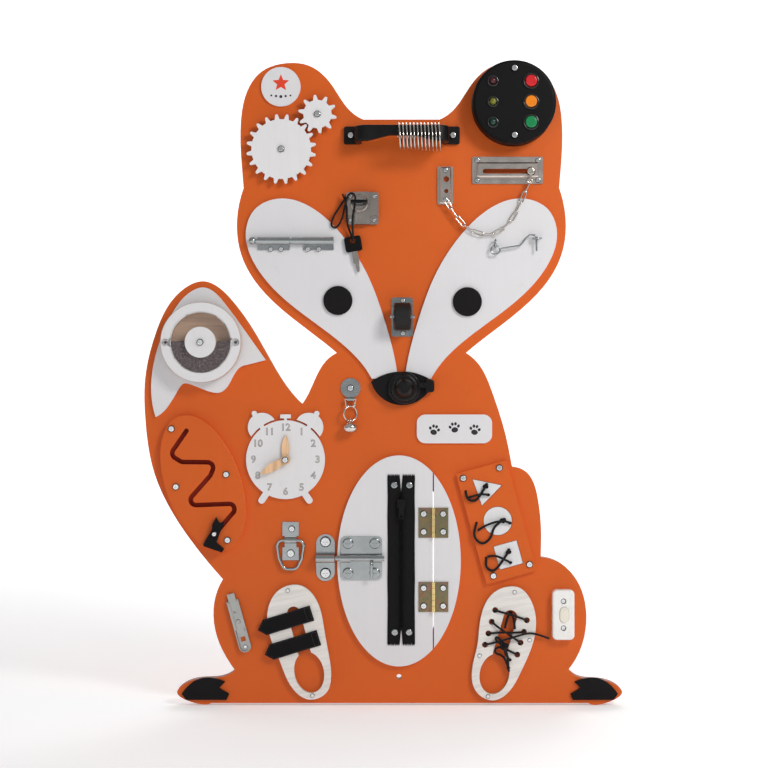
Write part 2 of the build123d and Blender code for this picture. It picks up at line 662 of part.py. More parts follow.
def rod(x0, x1, y, height, radius):
    return Pos((x0 + x1) / 2, y, height) * Rot(0, 90, 0) * Cylinder(radius, x1 - x0)


def tower_height():
    return panel_thick + tower_tube_r + 0.2


def tower_bolt_plates():
    plates = []
    places = (((-160.6, 541.0), (-147.6, 541.0)), ((-114.2, 541.0), (-100.7, 541.0)))
    for left, length, screws in zip((tower_left, tower_right), (tower_left_long, tower_right_long), places):
        flange = block(left, left + length, tower_y - tower_tube_r - tower_flange + 3,
                       tower_y + tower_tube_r - 1, panel_thick, panel_thick + sheet_thick)
        barrel = tube(left, left + length, tower_y, tower_height(), tower_tube_r, tower_rod_r + run_gap)
        plate = flange + barrel
        plate -= rod(left - 1, left + length + 1, tower_y, tower_height(), tower_rod_r + run_gap)
        low_screws = [(x, y - tower_tube_r) for x, y in screws]
        for x, y in low_screws:
            plate -= disc(x, y, small_screw[0] + run_gap, panel_thick + sheet_thick, 30)
        plates.append(fixed_by(plate, low_screws, panel_thick + sheet_thick, small_screw))
    plates[1] += ribbed_collar()
    return plates


def ribbed_collar():
    """Ribbed sleeve on the right plate, round the rod."""
    inner_r = tower_rod_r + run_gap
    collar = tube(tower_right - 14, tower_right + 1, tower_y, tower_height(), tower_rod_r + 0.9, inner_r)
    for index in range(5):
        left = tower_right - 13.6 + index * 2.9
        collar += tube(left, left + 1.4, tower_y, tower_height(), tower_tube_r - 0.1, inner_r)
    return collar


def tower_bolt_rod():
    height = tower_height()
    shaft = rod(tower_left - 3, tower_right + tower_right_long - 12, tower_y, height, tower_rod_r)
    knob = Pos(tower_left - 6, tower_y, height) * Sphere(4.9)
    return shaft + knob


# ---- roller ----------------------------------------------------------------------------------------------------
def roller_frame():
    base = slab(Pos(roller_x, roller_y) * rounded(roller_frame_wide, roller_frame_long, 3), 0, sheet_thick)
    base -= block(roller_x - roller_wide / 2 - 1, roller_x + roller_wide / 2 + 1,
                  roller_y - 14, roller_y + 14, -1, 5)
    ear_x = roller_wide / 2 + 1.0
    for side in (-1, 1):
        inner, outer = roller_x + side * ear_x, roller_x + side * (ear_x + sheet_thick)
        ear = block(min(inner, outer), max(inner, outer), roller_y - 11, roller_y + 11,
                    0, roller_axle_height + 5)
        base += ear
    axle = rod(roller_x - ear_x - 4, roller_x + ear_x + 4, roller_y, roller_axle_height, roller_axle_r)
    base += axle
    places = [(roller_x + 1, roller_y + 20.3), (roller_x + 1, roller_y - 20.3)]
    return fixed_by(base, places, sheet_thick, small_screw)


def roller_wheel():
    wheel = Cylinder(roller_r, roller_wide)
    wheel = fillet(wheel.edges().filter_by(GeomType.CIRCLE), 2.0)
    wheel -= Cylinder(roller_axle_r + axle_gap, roller_wide + 2)
    return Pos(roller_x, roller_y, roller_axle_height) * Rot(0, 90, 0) * wheel


# ---- nose bell -------------------------------------------------------------------------------------------------
def bell_body():
    low = nose_thick
    base = disc(bell_x, bell_y, bell_base_r, low, low + 4)
    base = fillet(base.edges().group_by(Axis.Z)[-1], 1.5)
    ring = disc(bell_x, bell_y, bell_ring_r, low + 4, low + 10)
    ring = fillet(ring.edges().group_by(Axis.Z)[-1], 2.5)
    dome = Pos(bell_x, bell_y, low + 10) * Sphere(bell_dome_r)
    dome &= disc(bell_x, bell_y, bell_dome_r + 1, low + 9.5, low + bell_height)
    boss = disc(lever_pivot_x, lever_pivot_y, lever_eye_r, low, low + 4)
    pin = disc(lever_pivot_x, lever_pivot_y, lever_pin_r, low + 4, low + 9)
    head = disc(lever_pivot_x, lever_pivot_y, 2.4, low + 7.6, low + 9)
    return [base + boss + pin + head, ring + dome]


def bell_lever():
    """Thumb lever on a pin beside the bell."""
    low = nose_thick
    pad = slab(Pos(38.5, 365.0) * rounded(11.0, 16.0, 3.5), low + seat_gap, low + 7.3)
    pad = fillet(pad.edges().group_by(Axis.Z)[-1], 1.5)
    eye = slab(bar((lever_pivot_x, lever_pivot_y), (38, lever_pivot_y), 2 * lever_eye_r), low + 4.3, low + 7.3)
    pad -= disc(bell_x, bell_y, bell_base_r + run_gap, 0, 40)
    pad -= disc(lever_pivot_x, lever_pivot_y, lever_eye_r + run_gap, 0, low + 4.2)
    return pad + eye - disc(lever_pivot_x, lever_pivot_y, lever_pin_r + axle_gap, 0, 40)


# ---- shaker wheel ----------------------------------------------------------------------------------------------
def shaker_low():
    return panel_thick + shaker_spacer


def shaker_wheel():
    """Turning drum: back disc, rim and hub round the chamber that holds the grains."""
    low = shaker_low() + seat_gap
    top = low + shaker_thick
    drum = disc(0, 0, shaker_r, low, top)
    drum = fillet(drum.edges().group_by(Axis.Z)[-1], 1.2)
    chamber = disc(0, 0, window_r, low + shaker_back, top + 1) - disc(0, 0, hub_r, low, top + 2)
    drum -= chamber
    hub = disc(0, 0, hub_r, top - 1, top + window_thick + 1)
    bore = disc(0, 0, shaker_axle_r + axle_gap, 0, 60)
    lugs = window_outline(run_gap) - Circle(hub_r - 1)
    drum -= slab(lugs, top - window_thick, top + 1)
    drum += hub
    for side in (-1, 1):
        drum -= disc(side * lug_distance, 0, pan_screw[2] + hole_gap, top - window_bite - 1, top + 1)
    return Pos(shaker_x, shaker_y, 0) * (drum - bore)


def window_outline(grow=0.0):
    lug = Circle(window_r + 1.2 + grow)
    for side in (-1, 1):
        lug += Pos(side * lug_distance, 0) * Circle(4.5 + grow)
    reach, rise = lug_distance + 3.6 + grow, 0.78 * window_r + grow
    return lug + Polygon((-reach, 0), (0, -rise), (reach, 0), (0, rise), align=None)


def shaker_window():
    top = shaker_low() + seat_gap + shaker_thick
    pane = window_outline() - Circle(hub_r + run_gap)
    window = slab(pane, top - window_thick, top)
    solids = [Pos(shaker_x, shaker_y, 0) * window]
    for side in (-1, 1):
        x = shaker_x + side * lug_distance
        solids.append(screw(x, shaker_y, top, pan_screw, bite=window_bite - top))
        solids[0] -= clearance(x, shaker_y, pan_screw)
    return solids


def shaker_grains():
    """The loose grains as they lie in the lower half of the chamber."""
    low = shaker_low() + seat_gap + shaker_back + run_gap
    top = shaker_low() + seat_gap + shaker_thick - window_thick - run_gap
    ring = Circle(window_r - run_gap) - Circle(hub_r + run_gap)
    heap = ring & (Pos(0, -30) * Rectangle(2 * window_r, 60))
    return Pos(shaker_x, shaker_y, 0) * slab(heap, low, top)


def shaker_axle():
    low = panel_thick
    top = shaker_low() + 2 * seat_gap + shaker_thick + window_thick + 1
    spacer = disc(shaker_x, shaker_y, spacer_r, low, shaker_low())
    spacer -= clearance(shaker_x, shaker_y, pan_screw)
    shoulder = disc(shaker_x, shaker_y, shaker_axle_r, shaker_low(), top)
    return [spacer, screw(shaker_x, shaker_y, top, pan_screw) + shoulder]


# ---- maze ------------------------------------------------------------------------------------------------------
groove_end = (-230.0, 180.2)
groove_turn = (-206.5, 207.7)


def groove_route():
    return [(-265.8, 309), (-286.5, 279), (-272, 270), (-229, 269.5), (-236, 253), (-266, 219),
            (-254, 216), (-204, 218), groove_turn, groove_end]


def groove(width):
    route = groove_route()
    shape = Sketch()
    path = FilletPolyline(*route[:-1], radius=[7, 7, 7, 8, 6.5, 6.5, 6.5])
    shape += trace(path, line_width=width)
    shape += bar(groove_turn, groove_end, width)
    shape += Pos(*route[0]) * Circle(width / 2)
    shape += Pos(*groove_turn) * Circle(width / 2)
    return shape


def maze_plate():
    plate = slab(turned(maze_x, maze_y, maze_tilt) * oval(maze_half_wide, maze_half_long), 0, maze_thick)
    plate -= slab(groove(groove_wide), undercut_high - 1, maze_thick + 1)
    plate -= slab(groove(undercut_wide), -1, undercut_high)
    places = [(-284.6, 311.5), (-216.2, 254.5), (-279.0, 239.0), (-214.5, 172.3)]
    return fixed_by(plate, places, maze_thick, pan_screw)


def maze_slider():
    """Seated animal silhouette on a headed stud that runs in the groove."""
    figure = Polygon((-228.3, 201.4), (-224.1, 194.3), (-217.6, 196), (-221.8, 185.4), (-224.6, 179.5),
                     (-227.6, 169.9), (-218.1, 161.6), (-221.1, 157.5), (-243.6, 165.2),
                     (-244.2, 168.2), (-233.6, 185.4), (-232.9, 192.5), align=None)
    low = maze_thick + slider_lift
    plate = slab(figure, low, low + slider_thick)
    x, y = groove_end
    stud = disc(x, y, groove_wide / 2 - run_gap, 1.0, low)
    foot = disc(x, y, undercut_wide / 2 - run_gap, 0.6, undercut_high - run_gap)
    washer = disc(x, y, groove_wide / 2 + 1.6, maze_thick + seat_gap, low)
    head = disc(x, y, 3.4, low + slider_thick, low + slider_thick + 1.8)
    return [plate + stud + foot + washer, fillet(head.edges().group_by(Axis.Z)[-1], 0.9)]


# ---- clock -----------------------------------------------------------------------------------------------------
def clock_face():
    face = Circle(clock_r)
    for side in (1, -1):
        angle = math.radians(cap_bearing if side == 1 else 180 - cap_bearing)
        cap_x, cap_y = cap_distance * math.cos(angle), cap_distance * math.sin(angle)
        cap = Pos(cap_x, cap_y) * Circle(cap_r) - Circle(clock_r + cap_gap)
        ball_angle = math.radians(120 if side == 1 else 60)
        ball = Pos(cap_x + 19.6 * math.cos(ball_angle), cap_y + 19.6 * math.sin(ball_angle)) * Circle(3.4)
        stem = bar((0.85 * cap_x, 0.85 * cap_y), (1.15 * cap_x, 1.15 * cap_y), 6.0)
        foot = bar((-side * 21.0, -38.0), (-side * 29.8, -51.0), 8.4)
        face += cap + ball + stem + foot
    face += Pos(0, 51.5) * Rectangle(3.4, 6) + Pos(0, 54.2) * rounded(13.4, 5, 0.8)
    plate = Pos(clock_x, clock_y, 0) * slab(face, 0, panel_thick)
    return plate - clearance(clock_x, clock_y, pan_screw)


def hand(length, width, low, bearing):
    """Leaf-shaped hand turning on the clock's axle."""
    leaf = outline([(2, 2.4), (length * 0.35, width / 2), (length * 0.65, width / 2 * 0.92), (length, 0)],
                   [(length, 0), (length * 0.65, -width / 2 * 0.92), (length * 0.35, -width / 2), (2, -2.4)],
                   [(2, -2.4), (2, 2.4)])
    shape = Circle(hand_hub_r) + leaf - Circle(clock_axle_r + axle_gap)
    return turned(clock_x, clock_y, bearing) * slab(shape, low, low + hand_thick)


def clock_hands():
    hour_low = panel_thick + seat_gap
    minute_low = hour_low + hand_thick + seat_gap
    hour = hand(hour_long, 8.8, hour_low, 90)
    minute = hand(minute_long, 10.4, minute_low, minute_bearing)
    return hour, minute


def clock_axle():
    top = panel_thick + 3 * seat_gap + 2 * hand_thick
    shoulder = disc(clock_x, clock_y, clock_axle_r, panel_thick, top)
    return screw(clock_x, clock_y, top, pan_screw) + shoulder


# ---- ring fittings ---------------------------------------------------------------------------------------------
def bell_hanger():
    """Washer under a screw, with a folded strap that holds the link's bar."""
    washer = disc(hanger_x, hanger_y, washer_r, 0, sheet_thick)
    strap_half = 4.2
    bar_y, bar_height = hanger_bar()
    strap = block(hanger_x - strap_half, hanger_x + strap_half, bar_y - 2.5, hanger_y,
                  sheet_thick, sheet_thick + 1.2)
    strap += block(hanger_x - strap_half, hanger_x + strap_half, bar_y - 2.5, bar_y + 2.5,
                   sheet_thick, bar_height)
    loop = tube(hanger_x - strap_half, hanger_x + strap_half, bar_y, bar_height,
                ring_wire_r + run_gap + 1.2, ring_wire_r + run_gap)
    solid = washer + strap + loop
    solid -= rod(hanger_x - 20, hanger_x + 20, bar_y, bar_height, ring_wire_r + run_gap)
    return fixed_by(solid, [(hanger_x, hanger_y)], sheet_thick + 1.2, pan_screw)


def hanger_bar():
    """Place of the hanging link's top bar: front-view y and height."""
    return hanger_y - washer_r - 1.5, 6.2


def jingle_bell():
    bar_y, height = hanger_bar()
    half_top, half_low = 6.6, 5.0
    link_low = bar_y - 9.0
    points = [(hanger_x, bar_y), (hanger_x + half_top, bar_y), (hanger_x + half_low, link_low),
              (hanger_x - half_low, link_low), (hanger_x - half_top, bar_y), (hanger_x, bar_y)]
    path = Wire([Line(a, b) for a, b in zip(points, points[1:])])
    ring = Plane(origin=path @ 0, z_dir=path % 0) * Circle(ring_wire_r)
    link = Pos(0, 0, height) * sweep(ring, path=path, transition=Transition.ROUND)
    ring_r = 9.2
    ring_y = link_low + 2 * ring_wire_r + 0.2 - ring_r - ring_wire_r * 2
    loop = Pos(hanger_x, ring_y, height) * Rot(0, 28, 0) * Torus(ring_r, ring_wire_r)
    ball_y, ball_height = ring_y - ring_r - 8.4, height + 3.6
    half = (Ellipse(9.3, 7.3) - Ellipse(8.1, 6.1)) & (Pos(10, 0) * Rectangle(20, 40))
    ball = Pos(hanger_x, ball_y, ball_height) * revolve(half, Axis.Y)
    ball -= block(hanger_x - 5, hanger_x + 5, ball_y - 12, ball_y - 3, ball_height - 0.7, ball_height + 0.7)
    shank = Pos(hanger_x, ball_y + 8.6, height) * Rot(0, 90, 0) * Torus(2.4, 0.9)
    return [link, loop, ball + shank]


def lashing_plate():
    """Plate screwed above and riveted below a hump that holds the D-ring's bar."""
    half = lash_wide / 2
    upper = block(lash_x - half, lash_x + half, lash_top - 17.5, lash_top, 0, sheet_thick)
    lower = block(lash_x - half, lash_x + half, lash_top - 48, lash_top - 31.8, 0, sheet_thick)
    tunnel_r = lash_bar_r + run_gap
    hump = tube(lash_x - half * 0.72, lash_x + half * 0.72, lash_bar_y, lash_bar_height,
                tunnel_r + sheet_thick, tunnel_r)
    foot = block(lash_x - half * 0.72, lash_x + half * 0.72, lash_top - 32.5, lash_top - 17,
                 0, lash_bar_height - tunnel_r)
    plate = upper + lower + foot + hump
    plate -= rod(lash_x - 40, lash_x + 40, lash_bar_y, lash_bar_height, tunnel_r)
    plate = fixed_by(plate, [(-134.5, 185.9)], sheet_thick, pan_screw)
    return fixed_by(plate, [(-135.8, 155.0)], sheet_thick, (5.0, 2.2, 2.0))


def d_ring():
    half, corner = bail_wide / 2, 6.0
    top, low = lash_bar_y, lash_bar_y - bail_long
    points = [(lash_x - 2, top), (lash_x - half, top), (lash_x - half + 3, top - 22),
              (lash_x - 8, low), (lash_x + 8, low), (lash_x + half - 3, top - 22),
              (lash_x + half, top), (lash_x + 2, top)]
    spots = [(x, y, lash_bar_height) for x, y in points]
    bail = wire_tube(spots, lash_bar_r, [corner, corner * 2, 8, 8, corner * 2, corner])
    return bail + rod(lash_x - 3, lash_x + 3, lash_bar_y, lash_bar_height, lash_bar_r)


def keeper_staple():
    """Round-ended plate with the tunnel that the door bolt shoots into."""
    half = keeper_wide / 2
    inner_r = bolt_r + 0.6
    plate = slab(Pos(keeper_x, bolt_y) * Rot(0, 0, 90) * SlotOverall(keeper_long, keeper_wide),
                 0, bolt_sheet)
    height = bolt_height()
    hump = rod(keeper_x - half, keeper_x + half, bolt_y, height, inner_r + bolt_sheet)
    hump += block(keeper_x - half, keeper_x + half, bolt_y - inner_r - bolt_sheet,
                  bolt_y + inner_r + bolt_sheet, 0, height)
    hollow = rod(keeper_x - 40, keeper_x + 40, bolt_y, height, inner_r)
    hollow += block(keeper_x - 40, keeper_x + 40, bolt_y - inner_r, bolt_y + inner_r, -1, height)
    staple = plate + hump - hollow
    return fixed_by(staple, [(keeper_x, bolt_y + 20), (keeper_x, bolt_y - 19.4)], bolt_sheet, flange_screw)


def ring_fittings():
    eyes = [screw_eye(left_eye_x, left_eye_y, 0), screw_eye(right_eye_x, right_eye_y, 90)]
    return eyes + [bell_hanger(), lashing_plate(), keeper_staple()]


# ---- belly door ------------------------------------------------------------------------------------------------
def hinge_height():
    return door_thick + knuckle_r + run_gap


def bolt_height():
    return door_thick + bolt_sheet + bolt_r + run_gap


def belly_door():
    split = Pos(hinge_x - split_gap / 2 - 200, belly_y) * Rectangle(400, 400)
    return slab(belly_oval() & split, seat_gap, door_thick)


def belly_strip():
    split = Pos(hinge_x + split_gap / 2 + 200, belly_y) * Rectangle(400, 400)
    return slab(belly_oval() & split, 0, door_thick)


def knuckle_spans(centre_y):
    step = leaf_long / knuckle_count
    low = centre_y - leaf_long / 2
    return [(low + i * step, low + (i + 1) * step) for i in range(knuckle_count)]


def hinge_leaf(centre_y, side, odd):
    """One leaf: side is 1 for the fixed strip and -1 for the door; odd picks its knuckles."""
    near, far = hinge_x + side * 0.2, hinge_x + side * leaf_wide
    leaf = block(min(near, far), max(near, far), centre_y - leaf_long / 2, centre_y + leaf_long / 2,
                 door_thick, door_thick + leaf_thick)
    for index, (y0, y1) in enumerate(knuckle_spans(centre_y)):
        barrel = Pos(hinge_x, (y0 + y1) / 2, hinge_height()) * Rot(90, 0, 0)
        if index % 2 == odd:
            leaf += barrel * Cylinder(knuckle_r, y1 - y0 - run_gap)
        else:
            leaf -= barrel * Cylinder(knuckle_r + run_gap, y1 - y0 + run_gap)
    pin_r = hinge_pin_r + (axle_gap if side == -1 else 0)
    shaft = Pos(hinge_x, centre_y, hinge_height()) * Rot(90, 0, 0)
    if side == 1:
        return leaf + shaft * Cylinder(pin_r, leaf_long)
    return leaf - shaft * Cylinder(pin_r, leaf_long + 2)


def fixed_hinge_leaves():
    leaves = []
    for centre_y in (upper_hinge_y, lower_hinge_y):
        places = [(hinge_x + 12.2, centre_y + dy) for dy in (11.2, -11.2)]
        leaf = hinge_leaf(centre_y, 1, 0)
        leaves.append(fixed_by(leaf, places, door_thick + leaf_thick, pan_screw))
    return leaves


def door_hinge_leaves():
    leaves = []
    for centre_y in (upper_hinge_y, lower_hinge_y):
        places = [(hinge_x - 12.2, centre_y + dy) for dy in (11.2, -11.2)]
        leaf = hinge_leaf(centre_y, -1, 1)
        leaves.append(on_door(leaf, places, door_thick + leaf_thick, pan_screw))
    return leaves


def zipper_tape():
    low = door_thick
    half = zip_wide / 2
    tape = block(zip_x - half, zip_x + half, zip_low, zip_high, low, low + tape_thick)
    for y, dy in ((zip_high, -1), (zip_low, 1)):
        vee = Polygon((zip_x - 1.6, y - dy), (zip_x + 1.6, y - dy), (zip_x, y + dy * 20), align=None)
        tape -= slab(vee, 0, 30)
    coil_low, coil_high = zip_low + 22, zip_high - 22
    coil = block(zip_x - coil_wide / 2, zip_x + coil_wide / 2, coil_low, coil_high,
                 low + tape_thick, low + tape_thick + coil_thick)
    places = [(zip_x - 8.6, 241.0), (zip_x + 10.2, 241.0), (zip_x - 8.0, 57.0), (zip_x + 9.8, 57.0)]
    tape = on_door(tape, places, low + tape_thick, pan_screw)
    return [tape, coil]


def zip_slider():
    """Slider body round the coil, with its pull tab lying down the tape."""
    low = door_thick + tape_thick + run_gap
    body = slab(Pos(zip_x, puller_y) * rounded(10.5, 12, 2.5), low, low + 5.0)
    body = fillet(body.edges().group_by(Axis.Z)[-1], 0.8)
    body -= block(zip_x - coil_wide / 2 - run_gap, zip_x + coil_wide / 2 + run_gap,
                  puller_y - 20, puller_y + 20, 0, door_thick + tape_thick + coil_thick + run_gap)
    tab_low = low + 5.0
    tab = slab(Pos(zip_x, puller_y - 9) * rounded(6.5, 20, 2.5), tab_low, tab_low + 1.4)
    tab -= slab(Pos(zip_x, puller_y - 15.5) * Circle(1.6), 0, 30)
    return body + tab


def door_bolt_guide():
    """Scalloped plate on the door with a slotted tunnel for the bolt."""
    low = door_thick
    middle, half_long = (guide_left + guide_right) / 2, guide_long / 2
    half = (guide_right - guide_left) / 2
    plate = slab(Pos(middle, bolt_y) * rounded(2 * half, guide_long, 6), low, low + bolt_sheet)
    inner_r = bolt_r + run_gap
    height = bolt_height()
    tunnel = rod(guide_left, guide_right, bolt_y, height, inner_r + bolt_sheet)
    tunnel += block(guide_left, guide_right, bolt_y - inner_r - bolt_sheet,
                    bolt_y + inner_r + bolt_sheet, low, height)
    hollow = rod(guide_left - 5, guide_right + 5, bolt_y, height, inner_r)
    hollow += block(guide_left - 5, guide_right + 5, bolt_y - inner_r, bolt_y + inner_r,
                    low + bolt_sheet, height)
    slot_x0, slot_x1 = handle_rest_x() - bolt_travel - 2.4, handle_rest_x() + 2.4
    slot = block(slot_x0, slot_x1, bolt_y - inner_r - 5, bolt_y + 1.5, height - 1.6, height + 12)
    guide = plate + tunnel - hollow - slot
    places = [(middle + i * 16.8, bolt_y + j * 18.6) for i in (-1, 1) for j in (-1, 1)]
    return on_door(guide, places, low + bolt_sheet, flange_screw)


def handle_rest_x():
    return -34.4


def door_bolt_rod():
    """Sliding bolt with its bent handle; drawn back at rest."""
    height = bolt_height()
    shaft = rod(bolt_left, bolt_right, bolt_y, height, bolt_r)
    x = handle_rest_x()
    points = [(x, bolt_y, height), (x, bolt_y - 7.0, height + 4.6), (x, bolt_y - 24.0, height + 4.6)]
    return shaft + wire_tube(points, 1.9, [4.0])


def door_fittings():
    guide = door_bolt_guide()
    return door_hinge_leaves() + [guide] + [screw(x, y, seat, kind, bite=-door_thick + door_bite) for x, y, seat, kind in door_screws]


# ---- shape sorter -----------------------------------------------------------------------------------------------
triangle = ((92.4, 248.1), (128.3, 240.6), (103.8, 215.5))
square_x, square_y, square_side = 136.7, 153.5, 29.6
round_x, round_y, round_r = 123.6, 196.0, 17.6


def shape_outlines(grow=0.0):
    """Front-view outlines of the three pieces, or of their sockets."""
    three = Polygon(*triangle, align=None)
    circle = Pos(round_x, round_y) * Circle(round_r + grow)
    square = turned(square_x, square_y, shape_tilt) * Rectangle(square_side + 2 * grow, square_side + 2 * grow)
    if grow:
        three = offset(three, amount=grow, kind=Kind.INTERSECTION)
    return three, circle, square


def shape_panel():
    panel = slab(turned(shape_x, shape_y, shape_tilt) * rounded(shape_wide, shape_long, 1.5), 0, shape_thick)
    for socket in shape_outlines(shape_gap):
        panel -= slab(socket, -1, shape_thick + 1)
    for spot in cord_sockets():
        panel -= disc(*spot, shape_cord_r + run_gap, -1, shape_thick + 1)
    places = [(80.4, 249.7), (125.6, 262.7), (163.3, 141.8), (118.1, 127.5)]
    return fixed_by(panel, places, shape_thick, pan_screw)


def cord_sockets():
    """Holes in the panel where the three pieces' cords go in."""
    return ((83.5, 232.9), (97.0, 193.5), (109.0, 149.7))


def shape_pieces():
    return [slab(shape, seat_gap, shape_thick - 0.2) for shape in shape_outlines()]


def shape_cords():
    """Cords of the three pieces: out of the panel, round in a loop, back onto the piece."""
    r = shape_cord_r
    on = shape_thick + r + 0.4
    tri = [(83.5, 232.9, shape_thick - 4), (83.3, 233.2, on + 1), (85.5, 222.5, on + 2),
           (96.0, 220.5, on), (103.0, 230.5, on), (108.5, 240.0, on - 0.2)]
    rnd = [(97.0, 193.5, shape_thick - 4), (96.8, 193.0, on + 1), (92.5, 177.0, on + 1),
           (103.5, 166.0, on), (115.5, 174.5, on), (118.5, 190.5, on), (130.0, 197.0, on - 0.2)]
    sqr = [(109.0, 149.7, shape_thick - 4), (109.2, 149.5, on + 1), (108.5, 137.5, on + 1),
           (118.0, 132.5, on), (127.0, 142.0, on), (137.0, 158.0, on - 0.2)]
    return [cord(name, route, r) for name, route in
            (("triangle_cord", tri), ("circle_cord", rnd), ("square_cord", sqr))]


# ---- shoes -----------------------------------------------------------------------------------------------------
def closed_outline(*points):
    """Smooth closed front-view outline."""
    face = Face(Wire([Spline(*points, periodic=True)]))
    return Sketch() + (face if face.normal_at().Z > 0 else -face)


def shoe_outlines():
    """Two soles with a heel opening and a tongue slot; toe up."""
    strap_sole = closed_outline(
        (-134, 116), (-158, 101), (-165, 78), (-161, 50), (-149, 20), (-137, -8), (-112, -27.5),
        (-91, -19), (-85, 3), (-89, 34), (-94, 62), (-103, 96))
    strap_sole -= Pos(-112.5, 6.5) * Rot(0, 0, 12) * oval(18.5, 26)
    strap_sole -= bar((-132, 81), (-117, 26), 16)
    lace_sole = closed_outline(
        (140.5, 114), (112, 99), (101.5, 70), (98, 40), (91.5, 10), (97, -18), (118.5, -28.5),
        (139, -16), (153, 8), (166, 38), (171.5, 71), (162, 102))
    lace_sole -= Pos(119.5, 4.5) * Rot(0, 0, -12) * oval(18.5, 25.5)
    lace_sole -= bar((139.5, 76), (125, 26), 17)
    return strap_sole, lace_sole


def lace_eyelets():
    left = [(120.4, 84.5), (116.0, 69.8), (111.9, 55.3), (107.6, 41.2)]
    right = [(160.0, 71.8), (156.4, 57.2), (152.2, 43.7), (148.0, 28.7)]
    return left, right


def shoe_plates():
    strap_sole, lace_sole = (slab(shape, 0, shoe_thick) for shape in shoe_outlines())
    strap_sole = fixed_by(strap_sole, [(-139.2, 109.0), (-108.3, -22.5)], shoe_thick, tiny_screw)
    places = [(144.8, 107.0), (163.5, 47.0), (101.0, 27.5), (111.4, -23.5)]
    lace_sole = fixed_by(lace_sole, places, shoe_thick, tiny_screw)
    for side in lace_eyelets():
        for x, y in side:
            lace_sole -= disc(x, y, eyelet_r, -1, shoe_thick + 1)
        for start, end in ((side[0], side[1]), (side[2], side[3])):
            lace_sole -= slab(bar(start, end, 2 * lace_r + 1.6), -1, lace_relief)
    return [strap_sole, lace_sole]


def strap(right_x, right_y, length):
    """Hook-and-loop strap with a pointed end, stitched down at its right end."""
    half = strap_wide / 2
    shape = Polygon((0, -half), (0, half), (-length + 12, half), (-length, -1), (-length + 12, -half),
                    align=None)
    low = shoe_thick + run_gap
    return turned(right_x, right_y, strap_tilt) * slab(shape, low, low + strap_thick)


def straps():
    return strap(-109.0, 81.0, 71.0), strap(-100.3, 50.3, 71.0)


def shoelace():
    """One lace: free end, knot, in and out of all eyelets, other free end."""
    left, right = lace_eyelets()
    low = lace_r + 0.35
    on = shoe_thick + lace_r + 0.35
    over = on + 2 * lace_r + 0.4
    top = over + 2 * lace_r + 0.4

    def through(first, second):
        """Down one eyelet, along the groove behind the shoe, up the next."""
        return [(*first, on), (*first, low), (*second, low), (*second, on)]

    route = [(188.3, 48.4, 3.0), (175.5, 53.5, 5.5), (163.0, 56.6, 9.5), (150.5, 54.0, top),
             (138.0, 50.2, top), (122.5, 45.0, on + 2)]
    route += through(left[3], left[2])
    route += [(127.5, 56.8, on), (143.0, 56.4, on)] + through(right[1], right[0])
    route += [(147.0, 76.8, on + 0.4), (133.5, 80.4, on + 0.4)] + through(left[0], left[1])
    route += [(126.5, 61.5, over - 0.4), (137.0, 54.6, over)] + through(right[2], right[3])
    route += [(136.5, 34.6, on), (127.0, 38.8, on), (119.6, 36.6, on), (120.6, 30.2, on), (128.6, 28.6, on),
              (135.0, 19.5, on), (137.5, 8.0, on - 0.2)]
    return cord("shoelace", route, lace_r)

# ---- light switch -----------------------------------------------------------------------------------------------
def switch_body():
    body = slab(Pos(switch_x, switch_y) * rounded(switch_wide, switch_long, 6), 0, switch_height)
    body = fillet(body.edges().group_by(Axis.Z)[-1], 2.5)
    opening = Pos(switch_x + 1, switch_y + 0.2) * SlotOverall(
        switch_button_long + 2 * run_gap, switch_button_wide + 2 * run_gap, 90)
    body -= slab(opening, 3.0, switch_height + 1)
    places = [(switch_x, switch_y + 17.2), (switch_x, switch_y - 16.4)]
    seat = switch_height - 4.0
    for x, y in places:
        body -= disc(x, y, small_screw[0] + run_gap, seat, switch_height + 1)
    return fixed_by(body, places, seat, small_screw)


def switch_button():
    shape = Pos(switch_x + 1, switch_y + 0.2) * SlotOverall(switch_button_long, switch_button_wide, 90)
    top = switch_height + 1.8
    button = slab(shape, 3.0 + button_travel + run_gap, top)
    return fillet(button.edges().group_by(Axis.Z)[-1], 1.2)


# ---- flat bolt --------------------------------------------------------------------------------------------------
def flat_place():
    return turned(flat_x, flat_y, flat_tilt)


def flat_bolt_channel():
    """Sheet channel with turned-up sides and a round lower end, open at the top."""
    half_long, half_wide = flat_long / 2, flat_wide / 2
    outer = Pos(0, half_wide / 2) * Rectangle(flat_wide, flat_long - half_wide)
    outer += Pos(0, -half_long + half_wide) * Circle(half_wide)
    wall = 1.2
    inner = Pos(0, half_wide / 2 + 5) * Rectangle(flat_wide - 2 * wall, flat_long - half_wide + 10)
    inner += Pos(0, -half_long + half_wide) * Circle(half_wide - wall)
    channel = slab(outer, 0, flat_height) - slab(inner, wall, flat_height + 1)
    channel -= slab(Pos(0, -17) * Rectangle(5.8, 5.8), -1, 10)
    lip_low = wall + tongue_thick + 2 * run_gap
    for side in (-1, 1):
        lip = Pos(side * (half_wide - 1.8), 14) * Rectangle(3.2, 36)
        channel += slab(lip, lip_low, lip_low + 1.0)
    channel = flat_place() * channel
    angle = math.radians(flat_tilt)
    place = (flat_x + 27.0 * math.sin(angle), flat_y - 27.0 * math.cos(angle))
    return fixed_by(channel, [place], wall, tiny_screw)


def flat_bolt_tongue():
    """Flat tongue with a finger stud, held under the channel's lips."""
    half = tongue_wide / 2
    low = 1.2 + run_gap
    tongue = block(-half, half, -8.0, 42.0, low, low + tongue_thick)
    tongue -= disc(0, 19, 2.0, 0, 10)
    stud = disc(0, 6.0, 2.8, low, low + tongue_thick + 2.6)
    return flat_place() * (tongue + fillet(stud.edges().group_by(Axis.Z)[-1], 1.2))


